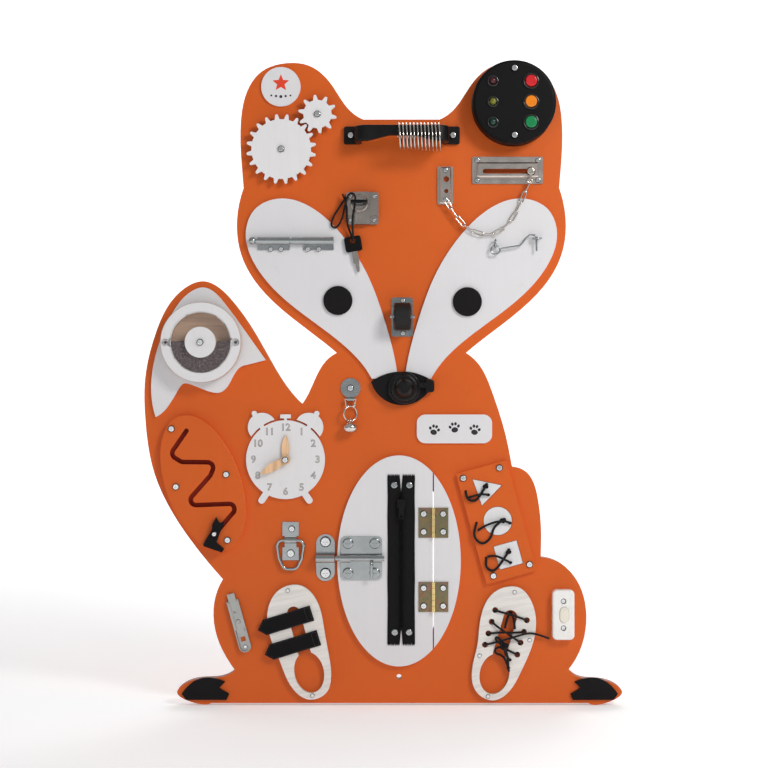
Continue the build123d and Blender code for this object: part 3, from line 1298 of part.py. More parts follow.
# ---- cords on the lock --------------------------------------------------------------------------------------------
def key_cord():
    """Cord from the lock's corner screw: a loop to the left, then down through the spare key's eye."""
    key_x, key_y, key_mid = spare_key_x, spare_key_y, spare_key_height()
    front, back = key_mid + key_thick / 2 + key_cord_r + 0.4, key_mid - key_thick / 2 - key_cord_r - 0.4
    route = [(-66.2, 601.5, 5.6), (-74.5, 589.0, 6.6), (-83.0, 575.5, 6.6), (-85.5, 565.0, 6.4),
             (-78.0, 562.0, 6.6), (-71.0, 574.0, 8.6), (-67.6, 590.0, 12.0), (-64.6, 602.0, 15.6),
             (-59.0, 606.4, 16.9), (-54.2, 601.2, 17.2), (-54.9, 592.0, 17.2), (-57.4, 580.0, 14.6),
             (-58.6, 568.0, front + 1.4),
             (key_x + 0.6, key_y + 9.0, front), (key_x, key_y, front), (key_x, key_y, back),
             (key_x - 2.6, key_y + 10.0, back), (-64.8, 567.0, 6.4), (-65.2, 576.0, 11.4),
             (-65.6, 594.0, 11.8), (-70.6, 605.0, 6.4)]
    return cord("key_cord", route, key_cord_r)


# ---- board -----------------------------------------------------------------------------------------------------
def fox_panel():
    board = slab(fox_outline(), -board_thick, 0)
    board -= slab(belly_oval(window_lip), -board_thick - 1, 1)
    board -= disc(0, 0, wall_hole_r, -board_thick - 1, 1)
    holes = [clearance(x, y, kind) for x, y, seat, kind in board_screws]
    holes += [clearance(x, y, pan_screw) for x, y in
              ((gear_x, gear_y), pinion_centre(), (shaker_x, shaker_y), (clock_x, clock_y))]
    return board - holes - eye_holes()


def main():
    os.makedirs("parts", exist_ok=True)
    world = Plane.XZ.offset(board_thick).location

    def write(name, solids):
        if isinstance(solids, (list, tuple)):
            shape = Compound(children=[world * s for s in solids])
        else:
            shape = world * solids
        export_step(shape, f"parts/{name}.step")
        print("wrote", name)

    large, small = gears()
    hour, minute = clock_hands()
    links = chain_parts()
    pieces = shape_pieces()
    cords = shape_cords()
    upper, lower = straps()
    rows = row_heights()
    panels = white_panels()
    strip = belly_strip()
    leaves = fixed_hinge_leaves()
    for x, y, seat, kind in board_screws:
        strip -= clearance(x, y, kind)
    nodes = {
        "black_panels": black_panels(),
        "bow_handle": bow_handle(),
        "slinky_coil": slinky_coil(),
        "gear_large": large,
        "gear_small": small,
        "signal_case": signal_case(),
        "signal_circuit": signal_circuit(),
        "button_red": signal_button(rows[0]),
        "button_amber": signal_button(rows[1]),
        "button_green": signal_button(rows[2]),
        "chain_plates": chain_plates(),
        "door_chain": links,
        "chain_slider": chain_slider(),
        "ring_fittings": ring_fittings(),
        "cabin_hook": cabin_hook(),
        "lock_case": lock_case(),
        "lock_key": lock_key(),
        "spare_key": spare_key(),
        "tower_bolt_plates": tower_bolt_plates(),
        "tower_bolt_rod": tower_bolt_rod(),
        "roller_frame": roller_frame(),
        "roller_wheel": roller_wheel(),
        "bell_body": bell_body(),
        "bell_lever": bell_lever(),
        "shaker_wheel": shaker_wheel(),
        "shaker_window": shaker_window(),
        "shaker_grains": shaker_grains(),
        "maze_plate": maze_plate(),
        "maze_slider": maze_slider(),
        "clock_face": clock_face(),
        "hour_hand": hour,
        "minute_hand": minute,
        "jingle_bell": jingle_bell(),
        "d_ring": d_ring(),
        "fixed_hinge_leaves": leaves,
        "belly_strip": strip,
        "zipper_tape": zipper_tape(),
        "zip_slider": zip_slider(),
        "door_fittings": door_fittings(),
        "door_bolt_rod": door_bolt_rod(),
        "shape_panel": shape_panel(),
        "triangle_piece": pieces[0],
        "circle_piece": pieces[1],
        "square_piece": pieces[2],
        "triangle_cord": cords[0],
        "circle_cord": cords[1],
        "square_cord": cords[2],
        "shoe_plates": shoe_plates(),
        "shoelace": shoelace(),
        "key_cord": key_cord(),
        "strap_upper": upper,
        "strap_lower": lower,
        "switch_body": switch_body(),
        "switch_button": switch_button(),
        "flat_bolt_channel": flat_bolt_channel(),
        "flat_bolt_tongue": flat_bolt_tongue(),
    }
    door = belly_door()
    for x, y, seat, kind in door_screws:
        door -= clearance(x, y, kind, bite=door_bite - door_thick)
    nodes["belly_door"] = door
    for x, y, seat, kind in board_screws:
        panels = [panel - clearance(x, y, kind) for panel in panels]
    for hole in eye_holes():
        panels = [panel - hole for panel in panels]
    nodes["white_panels"] = panels
    nodes["screws"] = [screw(x, y, seat, kind) for x, y, seat, kind in board_screws]
    nodes["screws"] += gear_axles() + shaker_axle() + [clock_axle()]
    nodes["fox_panel"] = fox_panel()
    for name, solids in nodes.items():
        write(name, solids)


if __name__ == "__main__":
    main()
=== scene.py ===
import math
import random

import bmesh
import bpy
from mathutils import Matrix, Vector


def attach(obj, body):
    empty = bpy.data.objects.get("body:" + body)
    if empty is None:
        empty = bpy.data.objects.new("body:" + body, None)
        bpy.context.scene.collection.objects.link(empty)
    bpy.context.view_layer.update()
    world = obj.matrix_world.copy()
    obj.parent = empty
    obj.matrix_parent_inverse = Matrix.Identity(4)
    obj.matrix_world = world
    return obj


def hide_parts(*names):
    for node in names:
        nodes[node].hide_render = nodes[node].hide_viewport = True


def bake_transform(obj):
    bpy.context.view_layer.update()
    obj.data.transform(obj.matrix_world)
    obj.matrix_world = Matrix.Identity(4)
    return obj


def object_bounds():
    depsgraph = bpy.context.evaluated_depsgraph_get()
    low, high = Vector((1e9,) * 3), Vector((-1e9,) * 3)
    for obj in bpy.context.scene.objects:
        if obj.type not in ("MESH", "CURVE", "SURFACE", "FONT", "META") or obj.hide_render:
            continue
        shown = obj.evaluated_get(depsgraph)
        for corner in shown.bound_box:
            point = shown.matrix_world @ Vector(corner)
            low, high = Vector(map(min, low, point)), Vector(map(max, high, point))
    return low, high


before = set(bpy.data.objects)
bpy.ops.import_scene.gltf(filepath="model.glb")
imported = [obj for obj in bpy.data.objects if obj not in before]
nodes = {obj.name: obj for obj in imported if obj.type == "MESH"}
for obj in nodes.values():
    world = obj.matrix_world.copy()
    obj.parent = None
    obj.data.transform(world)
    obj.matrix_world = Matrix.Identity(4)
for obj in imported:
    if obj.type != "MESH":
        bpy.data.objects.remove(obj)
cad_box = [list(corner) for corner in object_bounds()]
board_thick = 15.0
rng = random.Random(11)

# ---- places and sizes of the fittings on the frame, in millimetres ----

shaker_x, shaker_y = -246.7, 419.3
well_inner, well_outer, well_top = 19.6, 37.4, 21.0
maze_x, maze_y, maze_tilt, maze_long, maze_wide = -245.4, 243.2, 20.0, 89.0, 46.4
case_x, case_y, case_depth, rim_height = 143.0, 717.5, 28.0, 1.2
lamp_dx, button_dx, row_pitch = -26.8, 20.5, 25.5
key_eye_x, key_eye_y, key_tilt = -58.0, 546.5, 10.0
clock_x, clock_y, clock_thick = -142.2, 272.7, 4.0
badge_x, badge_y = -148.1, 740.2
hinge_x, leaf_top = 43.0, 7.35
strap_tilt = 17.0


# ---- places: front view in millimetres (x right, y up, h above the board's face) ----

def at(x, y, h):
    return Vector((x / 1000, -(board_thick + h) / 1000, y / 1000))


def seen_from_front(point):
    return point.x * 1000, point.z * 1000, -point.y * 1000 - board_thick


def polar(x, y, radius, bearing):
    """A point at a bearing clockwise from straight up."""
    turn = math.radians(bearing)
    return x + radius * math.sin(turn), y + radius * math.cos(turn)


def turned(x, y, degrees):
    """Gives a function from a tilted local pair (u, v) to the front view."""
    c, s = math.cos(math.radians(degrees)), math.sin(math.radians(degrees))
    return lambda u, v: (x + u * c - v * s, y + u * s + v * c)


# ---- material building ----

def shade(red, green, blue, gain=1.0):
    """Screen colour 0-255 to linear light, scaled."""
    def linear(c):
        c = c / 255
        return c / 12.92 if c <= 0.04045 else ((c + 0.055) / 1.055) ** 2.4
    return tuple(min(1.0, linear(c) * gain) for c in (red, green, blue)) + (1.0,)


def scaled(colour, gain):
    return tuple(min(1.0, c * gain) for c in colour[:3]) + (1.0,)


class Finish:
    """One procedural material: a Principled shader and the textures that feed it."""

    def __init__(self, name, rough=0.5, metallic=0.0, **sockets):
        self.material = bpy.data.materials.new(name)
        self.material.use_nodes = True
        self.tree = self.material.node_tree
        self.shader = next(n for n in self.tree.nodes if n.type == "BSDF_PRINCIPLED")
        self.shader.inputs["Roughness"].default_value = rough
        self.shader.inputs["Metallic"].default_value = metallic
        for key, value in sockets.items():
            self.shader.inputs[key.replace("_", " ")].default_value = value
        self.place = self.add("ShaderNodeTexCoord")
        self.height = None

    def add(self, kind, inputs=None, **settings):
        made = self.tree.nodes.new(kind)
        for key, value in settings.items():
            setattr(made, key, value)
        for key, value in (inputs or {}).items():
            if isinstance(value, bpy.types.NodeSocket):
                self.tree.links.new(value, made.inputs[key])
            else:
                made.inputs[key].default_value = value
        return made

    def where(self, stretch=(1, 1, 1), turn=(0, 0, 0)):
        """Object coordinates turned by degrees, then stretched."""
        spin = tuple(math.radians(a) for a in turn)
        first = self.add("ShaderNodeMapping", {"Vector": self.place.outputs["Object"], "Rotation": spin})
        return self.add("ShaderNodeMapping", {"Vector": first.outputs[0], "Scale": stretch}).outputs[0]

    def noise(self, scale, detail=3.0, roughness=0.55, stretch=(1, 1, 1), turn=(0, 0, 0)):
        return self.add("ShaderNodeTexNoise", {
            "Vector": self.where(stretch, turn), "Scale": scale, "Detail": detail,
            "Roughness": roughness}).outputs[0]

    def wave(self, scale, direction="X", distortion=0.0):
        return self.add("ShaderNodeTexWave", {
            "Vector": self.where(), "Scale": scale, "Distortion": distortion},
            bands_direction=direction).outputs[1]

    def ramp(self, value, *stops):
        made = self.add("ShaderNodeValToRGB", {"Fac": value})
        band = made.color_ramp
        while len(band.elements) < len(stops):
            band.elements.new(0.5)
        for element, (place, colour) in zip(band.elements, stops):
            element.position = place
            element.color = colour if isinstance(colour, tuple) else (colour, colour, colour, 1.0)
        return made.outputs[0]

    def blend(self, factor, first, second, mode="MIX"):
        made = self.add("ShaderNodeMix", {0: factor, 6: first, 7: second}, data_type="RGBA", blend_type=mode)
        return made.outputs[2]

    def rim(self, limit=0.86):
        """1 where the normal's share along the depth is under the limit, as on cut edges, and 0 elsewhere."""
        parts = self.add("ShaderNodeSeparateXYZ", {0: self.place.outputs["Normal"]})
        size = self.add("ShaderNodeMath", {0: parts.outputs[1]}, operation="ABSOLUTE")
        return self.add("ShaderNodeMath", {0: size.outputs[0], 1: limit}, operation="LESS_THAN").outputs[0]

    def colour(self, source):
        self.tree.links.new(source, self.shader.inputs["Base Color"])

    def roughness(self, source):
        self.tree.links.new(source, self.shader.inputs["Roughness"])

    def bump(self, height, depth, strength=1.0):
        """Adds a relief of that depth in millimetres."""
        inputs = {"Height": height, "Distance": depth / 1000, "Strength": strength}
        if self.height is not None:
            inputs["Normal"] = self.height
        self.height = self.add("ShaderNodeBump", inputs).outputs[0]
        self.tree.links.new(self.height, self.shader.inputs["Normal"])


def painted_wood(name, colour, rim=None, patch=0.05, rough=0.42, fibre=0.02, along=(1, 1, 0.05),
                 turn=(0, 0, 0), tone=0.03, gloss=0.35):
    """Rolled satin paint on plywood: slow colour drift, roller texture, faint fibre, layers at the rim. On
    the board the rim tone also holds painted shade, on the orange plates a painted highlight.
    """
    f = Finish(name, rough, Specular_IOR_Level=gloss)
    drift = f.noise(5.0, 2.0)
    base = f.ramp(drift, (0.32, scaled(colour, 1 - patch)), (0.68, scaled(colour, 1 + patch)))
    fibres = f.noise(260.0, 4.0, 0.6, along, turn)
    tones = f.ramp(fibres, (0.35, 1 - 2 * tone), (0.6, 1.0))
    base = f.blend(1.0, base, tones, "MULTIPLY")
    scuffs = f.ramp(f.noise(38.0, 6.0, 0.7), (0.62, 1.0), (0.78, 0.93))
    base = f.blend(1.0, base, scuffs, "MULTIPLY")
    # Cut edges take the rim tone in layers: plywood layers, with painted shade on the board's edges and a
    # painted highlight on the orange plates' edges.
    if rim is not None:
        layers = f.ramp(f.wave(105.0, "Y", 0.6), (0.3, scaled(rim, 0.86)), (0.7, scaled(rim, 1.06)))
        base = f.blend(f.rim(), base, layers)
    f.colour(base)
    f.roughness(f.ramp(f.noise(55.0, 3.0), (0.3, rough - 0.06), (0.7, rough + 0.08)))
    f.bump(f.noise(620.0, 2.0), 0.05, 0.6)
    f.bump(fibres, fibre)
    return f.material


def plastic(name, colour, rough=0.35, grain=0.03, scale=1600.0, patch=0.04, coat=0.0, **sockets):
    """Moulded plastic with a spark-eroded grain and handling marks."""
    f = Finish(name, rough, **sockets)
    f.shader.inputs["Coat Weight"].default_value = coat
    f.shader.inputs["Coat Roughness"].default_value = 0.08
    f.colour(f.ramp(f.noise(30.0, 3.0), (0.3, scaled(colour, 1 - patch)), (0.7, scaled(colour, 1 + patch))))
    f.roughness(f.ramp(f.noise(90.0, 4.0), (0.35, rough - 0.05), (0.7, rough + 0.09)))
    f.bump(f.noise(scale, 2.0), grain)
    return f.material


def metal(name, colour, rough, brush=(0.1, 1, 1), patch=0.08, spots=None, edge=None, limit=0.35):
    """Plated steel: faint drawn lines, cloudy plating, and painted shade on faces that look sideways, in the
    darker edge tone.
    """
    f = Finish(name, rough, 1.0)
    cloud = f.noise(70.0, 4.0, 0.6)
    tones = ((0.3, scaled(colour, 1 - patch)), (0.7, scaled(colour, 1 + patch)))
    base = f.ramp(cloud, *(spots or tones))
    lines = f.noise(1500.0, 3.0, 0.6, brush)
    base = f.blend(1.0, base, f.ramp(lines, (0.3, 0.93), (0.6, 1.0)), "MULTIPLY")
    # Painted shade: faces that look sideways take the darker edge tone.
    if edge is not None:
        base = f.blend(f.rim(limit), base, edge)
    f.colour(base)
    f.roughness(f.ramp(f.noise(60.0, 3.0, 0.5), (0.3, max(0.05, rough - 0.04)), (0.72, rough + 0.05)))
    f.bump(lines, 0.0016)
    return f.material


# At this scale a wave texture repeats every millimetre.
rib_scale = 314.0


def woven(name, colour, rib, pitch, fuzz=0.12, sheen=0.35):
    """Woven tape with a rib every pitch millimetres, weft across it and loose fibre."""
    f = Finish(name, 0.86, Sheen_Weight=sheen, Sheen_Roughness=0.45, Specular_IOR_Level=0.25)
    other = "Z" if rib == "X" else "X"
    warp = f.wave(rib_scale / pitch, rib, 1.2)
    weft = f.wave(rib_scale / (pitch * 0.62), other, 1.6)
    lint = f.noise(1900.0, 4.0, 0.7)
    base = f.ramp(warp, (0.25, scaled(colour, 0.55)), (0.8, scaled(colour, 1.5)))
    base = f.blend(1.0, base, f.ramp(lint, (0.35, 0.7), (0.7, 1.0)), "MULTIPLY")
    f.colour(base)
    f.bump(warp, 0.22)
    f.bump(weft, 0.1)
    f.bump(lint, fuzz)
    return f.material


def looped_pile(name, colour):
    """The loop side of hook-and-loop tape: a dense matt fuzz."""
    f = Finish(name, 0.95, Sheen_Weight=0.1, Sheen_Roughness=0.5, Specular_IOR_Level=0.2)
    loops = f.noise(1300.0, 5.0, 0.75)
    tufts = f.add("ShaderNodeTexVoronoi", {"Vector": f.where(), "Scale": 900.0}).outputs[0]
    f.colour(f.ramp(loops, (0.3, scaled(colour, 0.5)), (0.55, colour), (0.78, scaled(colour, 2.4))))
    f.bump(tufts, 0.18)
    f.bump(loops, 0.3)
    return f.material


def braided(name, colour, length, diameter):
    """Round braided cord: two sets of strands crossing at an angle, along the cord."""
    f = Finish(name, 0.78, Sheen_Weight=0.1, Sheen_Roughness=0.4, Specular_IOR_Level=0.3)
    pitch = diameter * 1.25
    along = f.add("ShaderNodeMapping", {"Vector": f.place.outputs["UV"],
                                        "Scale": (length / pitch, 2.0, 1.0)}).outputs[0]
    strands = []
    for sign in (1, -1):
        skew = f.add("ShaderNodeMapping", {"Vector": along, "Rotation": (0, 0, sign * math.radians(45))})
        strands.append(f.add("ShaderNodeTexWave", {"Vector": skew.outputs[0], "Scale": 1.35},
                             bands_direction="X").outputs[1])
    weave = f.add("ShaderNodeMath", {0: strands[0], 1: strands[1]}, operation="MAXIMUM").outputs[0]
    lint = f.noise(2600.0, 3.0, 0.7)
    base = f.ramp(weave, (0.35, scaled(colour, 0.45)), (0.95, scaled(colour, 1.7)))
    f.colour(f.blend(1.0, base, f.ramp(lint, (0.3, 0.65), (0.7, 1.0)), "MULTIPLY"))
    f.bump(weave, 0.25)
    f.bump(lint, 0.12)
    return f.material


orange = shade(202, 88, 20, 1.2)
white = shade(216, 215, 217, 1.15)
cord_black = (0.010, 0.009, 0.010, 1.0)

finish = {
    # The board's darker rim tone is plywood layers with painted shade on its cut edges.
    "orange": painted_wood("orange_paint", orange, shade(140, 58, 24, 1.1), patch=0.03, rough=0.46,
                           tone=0.004, fibre=0.008),
    # The orange plates' lighter rim tone is the routed edge with a painted highlight on it.
    "orange_plate": painted_wood("orange_plate_paint", orange, shade(224, 128, 72, 1.25), patch=0.03,
                                 rough=0.45, tone=0.004, fibre=0.008),
    # The groove's dark red-brown is painted shade in the groove and on the channel floor under it.
    "groove": painted_wood("groove_painted_shade", shade(150, 36, 10, 1.2), rough=0.7, tone=0.1),
    "white": painted_wood("white_paint", white, shade(232, 206, 196, 1.2), patch=0.015, tone=0.006),
    "gear_white": painted_wood("gear_paint", shade(226, 225, 226, 1.09), shade(205, 188, 178, 1.1),
                               patch=0.015, tone=0.012, rough=0.5),
    "washed": painted_wood("whitewashed_birch", shade(224, 220, 215, 1.2), shade(196, 178, 160, 1.1),
                           patch=0.03, tone=0.07, fibre=0.09, along=(0.06, 1, 1), turn=(0, 12, 0), rough=0.6),
    "black_paint": painted_wood("black_paint", (0.008, 0.007, 0.008, 1), (0.02, 0.015, 0.012, 1),
                                patch=0.1, tone=0.05, rough=0.62, gloss=0.15),
    "bare": painted_wood("oiled_birch", shade(226, 186, 146, 1.2), shade(150, 105, 70, 1.1), patch=0.08,
                         tone=0.14, fibre=0.06, rough=0.6, gloss=0.25),
    "plywood_back": painted_wood("plywood_back", shade(196, 166, 142, 1.2), patch=0.06, tone=0.1,
                                 fibre=0.05, along=(0.05, 1, 1), rough=0.65),
    "black_plastic": plastic("black_plastic", (0.004, 0.004, 0.0045, 1), 0.5, 0.035, Specular_IOR_Level=0.14),
    "handle": plastic("black_handle", (0.005, 0.005, 0.005, 1), 0.42, 0.02, Specular_IOR_Level=0.22),
    "bell_black": plastic("bell_black", (0.004, 0.0035, 0.0035, 1), 0.3, 0.01, coat=0.08,
                          Specular_IOR_Level=0.3),
    "collar": plastic("glossy_collar", (0.010, 0.010, 0.011, 1), 0.14, 0.004, coat=0.8),
    "tyre": plastic("roller_rubber", (0.012, 0.011, 0.011, 1), 0.55, 0.06, 900.0, Specular_IOR_Level=0.3),
    "white_plastic": plastic("white_plastic", shade(232, 231, 228, 1.15), 0.28, 0.01, coat=0.25),
    "cream_plastic": plastic("cream_plastic", shade(226, 221, 206, 1.15), 0.3, 0.01, coat=0.25),
    "red": plastic("red_button", shade(198, 14, 24, 1.1), 0.22, 0.006, patch=0.12, coat=0.5,
                   Subsurface_Weight=0.08),
    "amber": plastic("amber_button", shade(228, 124, 12, 1.1), 0.22, 0.006, patch=0.12, coat=0.5,
                     Subsurface_Weight=0.08),
    "green": plastic("green_button", shade(6, 134, 74, 1.05), 0.22, 0.006, patch=0.12, coat=0.5,
                     Subsurface_Weight=0.08),
    "lamp_red": plastic("lamp_red", shade(72, 6, 18), 0.16, 0.004, patch=0.3, coat=0.25),
    "lamp_yellow": plastic("lamp_yellow", shade(116, 118, 26), 0.16, 0.004, patch=0.3, coat=0.25),
    "lamp_green": plastic("lamp_green", shade(4, 56, 44), 0.16, 0.004, patch=0.3, coat=0.25),
    "circuit": plastic("circuit_board", (0.02, 0.12, 0.05, 1), 0.4, 0.02, 500.0, 0.2),
    # The plated metals' edge tones are painted shade on their sideways faces.
    "zinc": metal("zinc_plate", (0.45, 0.48, 0.485, 1), 0.2, patch=0.05, edge=(0.26, 0.28, 0.29, 1)),
    # Painted shade: the screws' near-black edge tone darkens the cross recess and the dome's sides.
    "screw": metal("zinc_screw", (0.92, 0.95, 0.96, 1), 0.24, edge=(0.07, 0.075, 0.08, 1), limit=0.93),
    "nickel": metal("brushed_nickel", (0.86, 0.80, 0.73, 1), 0.22, patch=0.03, edge=(0.42, 0.37, 0.32, 1)),
    "bright": metal("bright_nickel", (0.74, 0.70, 0.65, 1), 0.14, patch=0.05),
    "lock_nickel": metal("satin_nickel", (0.56, 0.50, 0.45, 1), 0.24, (0.06, 1, 1), patch=0.04,
                         edge=(0.12, 0.11, 0.10, 1)),
    "grey_steel": metal("grey_steel", (0.50, 0.50, 0.48, 1), 0.36, patch=0.06, edge=(0.2, 0.2, 0.19, 1)),
    "yellow_zinc": metal("yellow_zinc", (0.5, 0.4, 0.22, 1), 0.36, spots=(
        (0.30, (0.26, 0.14, 0.11, 1)), (0.42, (0.33, 0.22, 0.12, 1)), (0.52, (0.21, 0.22, 0.12, 1)),
        (0.62, (0.34, 0.19, 0.15, 1)), (0.75, (0.38, 0.27, 0.13, 1))), edge=(0.2, 0.15, 0.07, 1)),
    "brass": metal("bright_brass", (0.82, 0.62, 0.28, 1), 0.22, patch=0.08),
    "tape": woven("zip_tape_weave", (0.007, 0.0065, 0.007, 1), "X", 1.1, sheen=0.08),
    "coil": plastic("zip_coil_nylon", (0.004, 0.0038, 0.004, 1), 0.45, 0.01, Specular_IOR_Level=0.2),
    "pile": looped_pile("hook_and_loop", (0.0065, 0.006, 0.0065, 1)),
    "knot": looped_pile("knotted_cord", (0.009, 0.008, 0.009, 1)),
    "thread": woven("sewing_thread", (0.05, 0.047, 0.05, 1), "Z", 0.5, fuzz=0.05),
    "print_grey": plastic("engraved_grey", shade(128, 116, 110, 1.0), 0.7, 0.03, 700.0, 0.15),
    "print_red": plastic("printed_red", shade(222, 62, 32, 1.15), 0.45, 0.01, 900.0, 0.08),
    "print_black": plastic("printed_black", (0.016, 0.015, 0.016, 1), 0.5, 0.01, 900.0, 0.1),
}


def seeds_finish():
    f = Finish("seed_coats", 0.5, Specular_IOR_Level=0.4)
    speck = f.noise(430.0, 2.0, 0.5)
    f.colour(f.ramp(speck, (0.3, shade(38, 26, 30, 1.2)), (0.5, shade(74, 58, 62, 1.2)),
                    (0.7, shade(122, 104, 100, 1.2))))
    f.bump(f.noise(2200.0, 3.0), 0.08)
    return f.material


def window_finish():
    f = Finish("clear_acrylic", 0.05, Alpha=0.07, IOR=1.49)
    f.colour(f.ramp(f.noise(40.0), (0.3, (0.30, 0.31, 0.31, 1)), (0.7, (0.42, 0.43, 0.43, 1))))
    f.roughness(f.ramp(f.noise(120.0, 6.0, 0.7), (0.45, 0.04), (0.75, 0.14)))
    return f.material


finish["seeds"] = seeds_finish()
finish["window"] = window_finish()

whole = {
    "fox_panel": "orange", "white_panels": "white", "black_panels": "black_paint", "bow_handle": "handle",
    "lock_case": "lock_nickel", "chain_plates": "nickel",
    "door_chain": "bright", "tower_bolt_plates": "zinc", "roller_frame": "zinc", "bell_body": "bell_black",
    "shaker_grains": "seeds", "clock_face": "gear_white", "ring_fittings": "zinc", "belly_strip": "white",
    "shape_panel": "orange_plate", "shoe_plates": "washed",
    "shoelace": "pile", "switch_body": "white_plastic", "flat_bolt_channel": "grey_steel",
    "screws": "screw", "key_cord": "pile", "gear_large": "gear_white", "gear_small": "gear_white",
    "slinky_coil": "bright", "chain_slider": "nickel", "tower_bolt_rod": "zinc", "cabin_hook": "zinc",
    "roller_wheel": "tyre", "bell_lever": "bell_black", "shaker_window": "window",
    "maze_slider": "black_paint", "hour_hand": "bare", "minute_hand": "bare", "jingle_bell": "bright",
    "d_ring": "zinc", "belly_door": "white", "zipper_tape": "tape", "zip_slider": "coil",
    "door_bolt_rod": "zinc", "triangle_piece": "gear_white", "circle_piece": "gear_white",
    "square_piece": "gear_white", "triangle_cord": "pile", "circle_cord": "pile", "square_cord": "pile",
    "strap_upper": "pile", "strap_lower": "pile", "switch_button": "cream_plastic",
    "flat_bolt_tongue": "grey_steel", "button_red": "red", "button_amber": "amber",
    "button_green": "green",
}


def maze_faces(x, y, h, n):
    """The groove's walls get painted shade, darker than the plate and its rim."""
    turn = math.radians(maze_tilt)
    dx, dy = x - maze_x, y - maze_y
    u, v = -dx * math.sin(turn) + dy * math.cos(turn), dx * math.cos(turn) + dy * math.sin(turn)
    inside = (u / maze_long) ** 2 + (v / maze_wide) ** 2 < 0.94 and math.hypot(dx, dy) < 82
    return "groove" if inside and abs(n.y) < 0.7 else "orange_plate"


def shaker_faces(x, y, h, n):
    r = math.hypot(x - shaker_x, y - shaker_y)
    return "plywood_back" if well_inner < r < well_outer and h < well_top else "gear_white"


def circuit_faces(x, y, h, n):
    """Lamps stand at the left above the circuit board, and the battery box lies under it."""
    lamp_foot, circuit_low, circuit_high = 17.5, 14.5, 17.0
    if h > lamp_foot and x < case_x + lamp_dx / 2:
        row = round((y - case_y) / row_pitch)
        return {1: "lamp_red", 0: "lamp_yellow", -1: "lamp_green"}[row]
    return "circuit" if circuit_low < h < circuit_high else "black_plastic"


def spare_faces(x, y, h, n):
    """The head ends and the blade starts at a distance below the key's eye."""
    tilt, head_end = math.radians(key_tilt), 14.05
    along = (x - key_eye_x) * math.sin(tilt) - (y - key_eye_y) * math.cos(tilt)
    return "bright" if along > head_end else "black_plastic"


def hinge_faces(x, y, h, n):
    """The bolt's guide lies further left than the hinges, whose knuckles stand on their axis."""
    guide_end, knuckle_reach = 18, 3.4
    if x < guide_end:
        return "zinc"
    if abs(x - hinge_x) < knuckle_reach:
        return "brass"
    return "yellow_zinc" if h < leaf_top else "screw"


def case_faces(x, y, h, n):
    """The raised rims round lamps and buttons are glossier than the shell."""
    near = any(math.hypot(x - case_x - dx, y - case_y - row * row_pitch) < reach for row in (-1, 0, 1)
               for dx, reach in ((lamp_dx, 7.6), (button_dx, 10.4)))
    return "bell_black" if near and h > case_depth + 0.1 else "black_plastic"


def lock_key_faces(x, y, h, n):
    head_foot = 19.3
    return "black_plastic" if h > head_foot else "bright"


by_face = {
    "maze_plate": maze_faces,
    "shaker_wheel": shaker_faces,
    "signal_circuit": circuit_faces,
    "lock_key": lock_key_faces,
    "spare_key": spare_faces,
    "door_fittings": hinge_faces,
    "fixed_hinge_leaves": hinge_faces,
    "signal_case": case_faces,
}


def dress(name, obj):
    """Gives a node its finish, or one for each kind of face."""
    mesh = obj.data
    mesh.materials.clear()
    if name in whole:
        mesh.materials.append(finish[whole[name]])
        return
    places = {}
    for face in mesh.polygons:
        kind = by_face[name](*seen_from_front(face.center), face.normal)
        if kind not in places:
            places[kind] = len(places)
            mesh.materials.append(finish[kind])
        face.material_index = places[kind]


for name, obj in nodes.items():
    dress(name, obj)

soft_edges = {
    "fox_panel": 0.7, "white_panels": 0.55, "belly_door": 0.55, "belly_strip": 0.55, "gear_large": 0.5,
    "gear_small": 0.5, "clock_face": 0.45, "shoe_plates": 0.5, "shape_panel": 0.5, "maze_plate": 0.6,
    "triangle_piece": 0.35, "circle_piece": 0.35, "square_piece": 0.35, "black_panels": 0.35,
}
for name, wide in soft_edges.items():
    soft = nodes[name].modifiers.new("soft_edge", "BEVEL")
    soft.width = wide / 1000
    soft.segments = 1
    soft.limit_method = "ANGLE"
    soft.angle_limit = math.radians(62)
    soft.use_clamp_overlap = True


# ---- camera ----

half_view, view_distance = 0.482, 2.15
lens = bpy.data.cameras.new("camera")
lens.angle = 2 * math.atan(half_view / view_distance)
camera = bpy.data.objects.new("camera", lens)
camera.location = (-0.0188, -view_distance - board_thick / 1000, 0.3675)
camera.rotation_euler = (math.radians(90), 0, 0)
bpy.context.collection.objects.link(camera)
bpy.context.scene.camera = camera


# ---- cords ----

def tube(name, route, diameter, length):
    """A braided round cord along one NURBS line."""
    curve = bpy.data.curves.new(name, "CURVE")
    curve.dimensions = "3D"
    curve.bevel_depth = diameter / 2000
    curve.bevel_resolution = 5
    curve.resolution_u = 14
    curve.use_fill_caps = True
    line = curve.splines.new("NURBS")
    line.points.add(len(route) - 1)
    for point, place in zip(line.points, route):
        point.co = at(*place).to_4d()
    line.order_u = 3
    line.use_endpoint_u = True
    curve.materials.append(braided(name + "_weave", cord_black, length, diameter))
    obj = bpy.data.objects.new(name, curve)
    bpy.context.collection.objects.link(obj)
    return obj


def cord(name, route, diameter, length, body, node):
    """A cord of the frame, in place of its plain node and with its facts."""
    obj = tube(name, route, diameter, length)
    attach(obj, body)
    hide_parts(node)


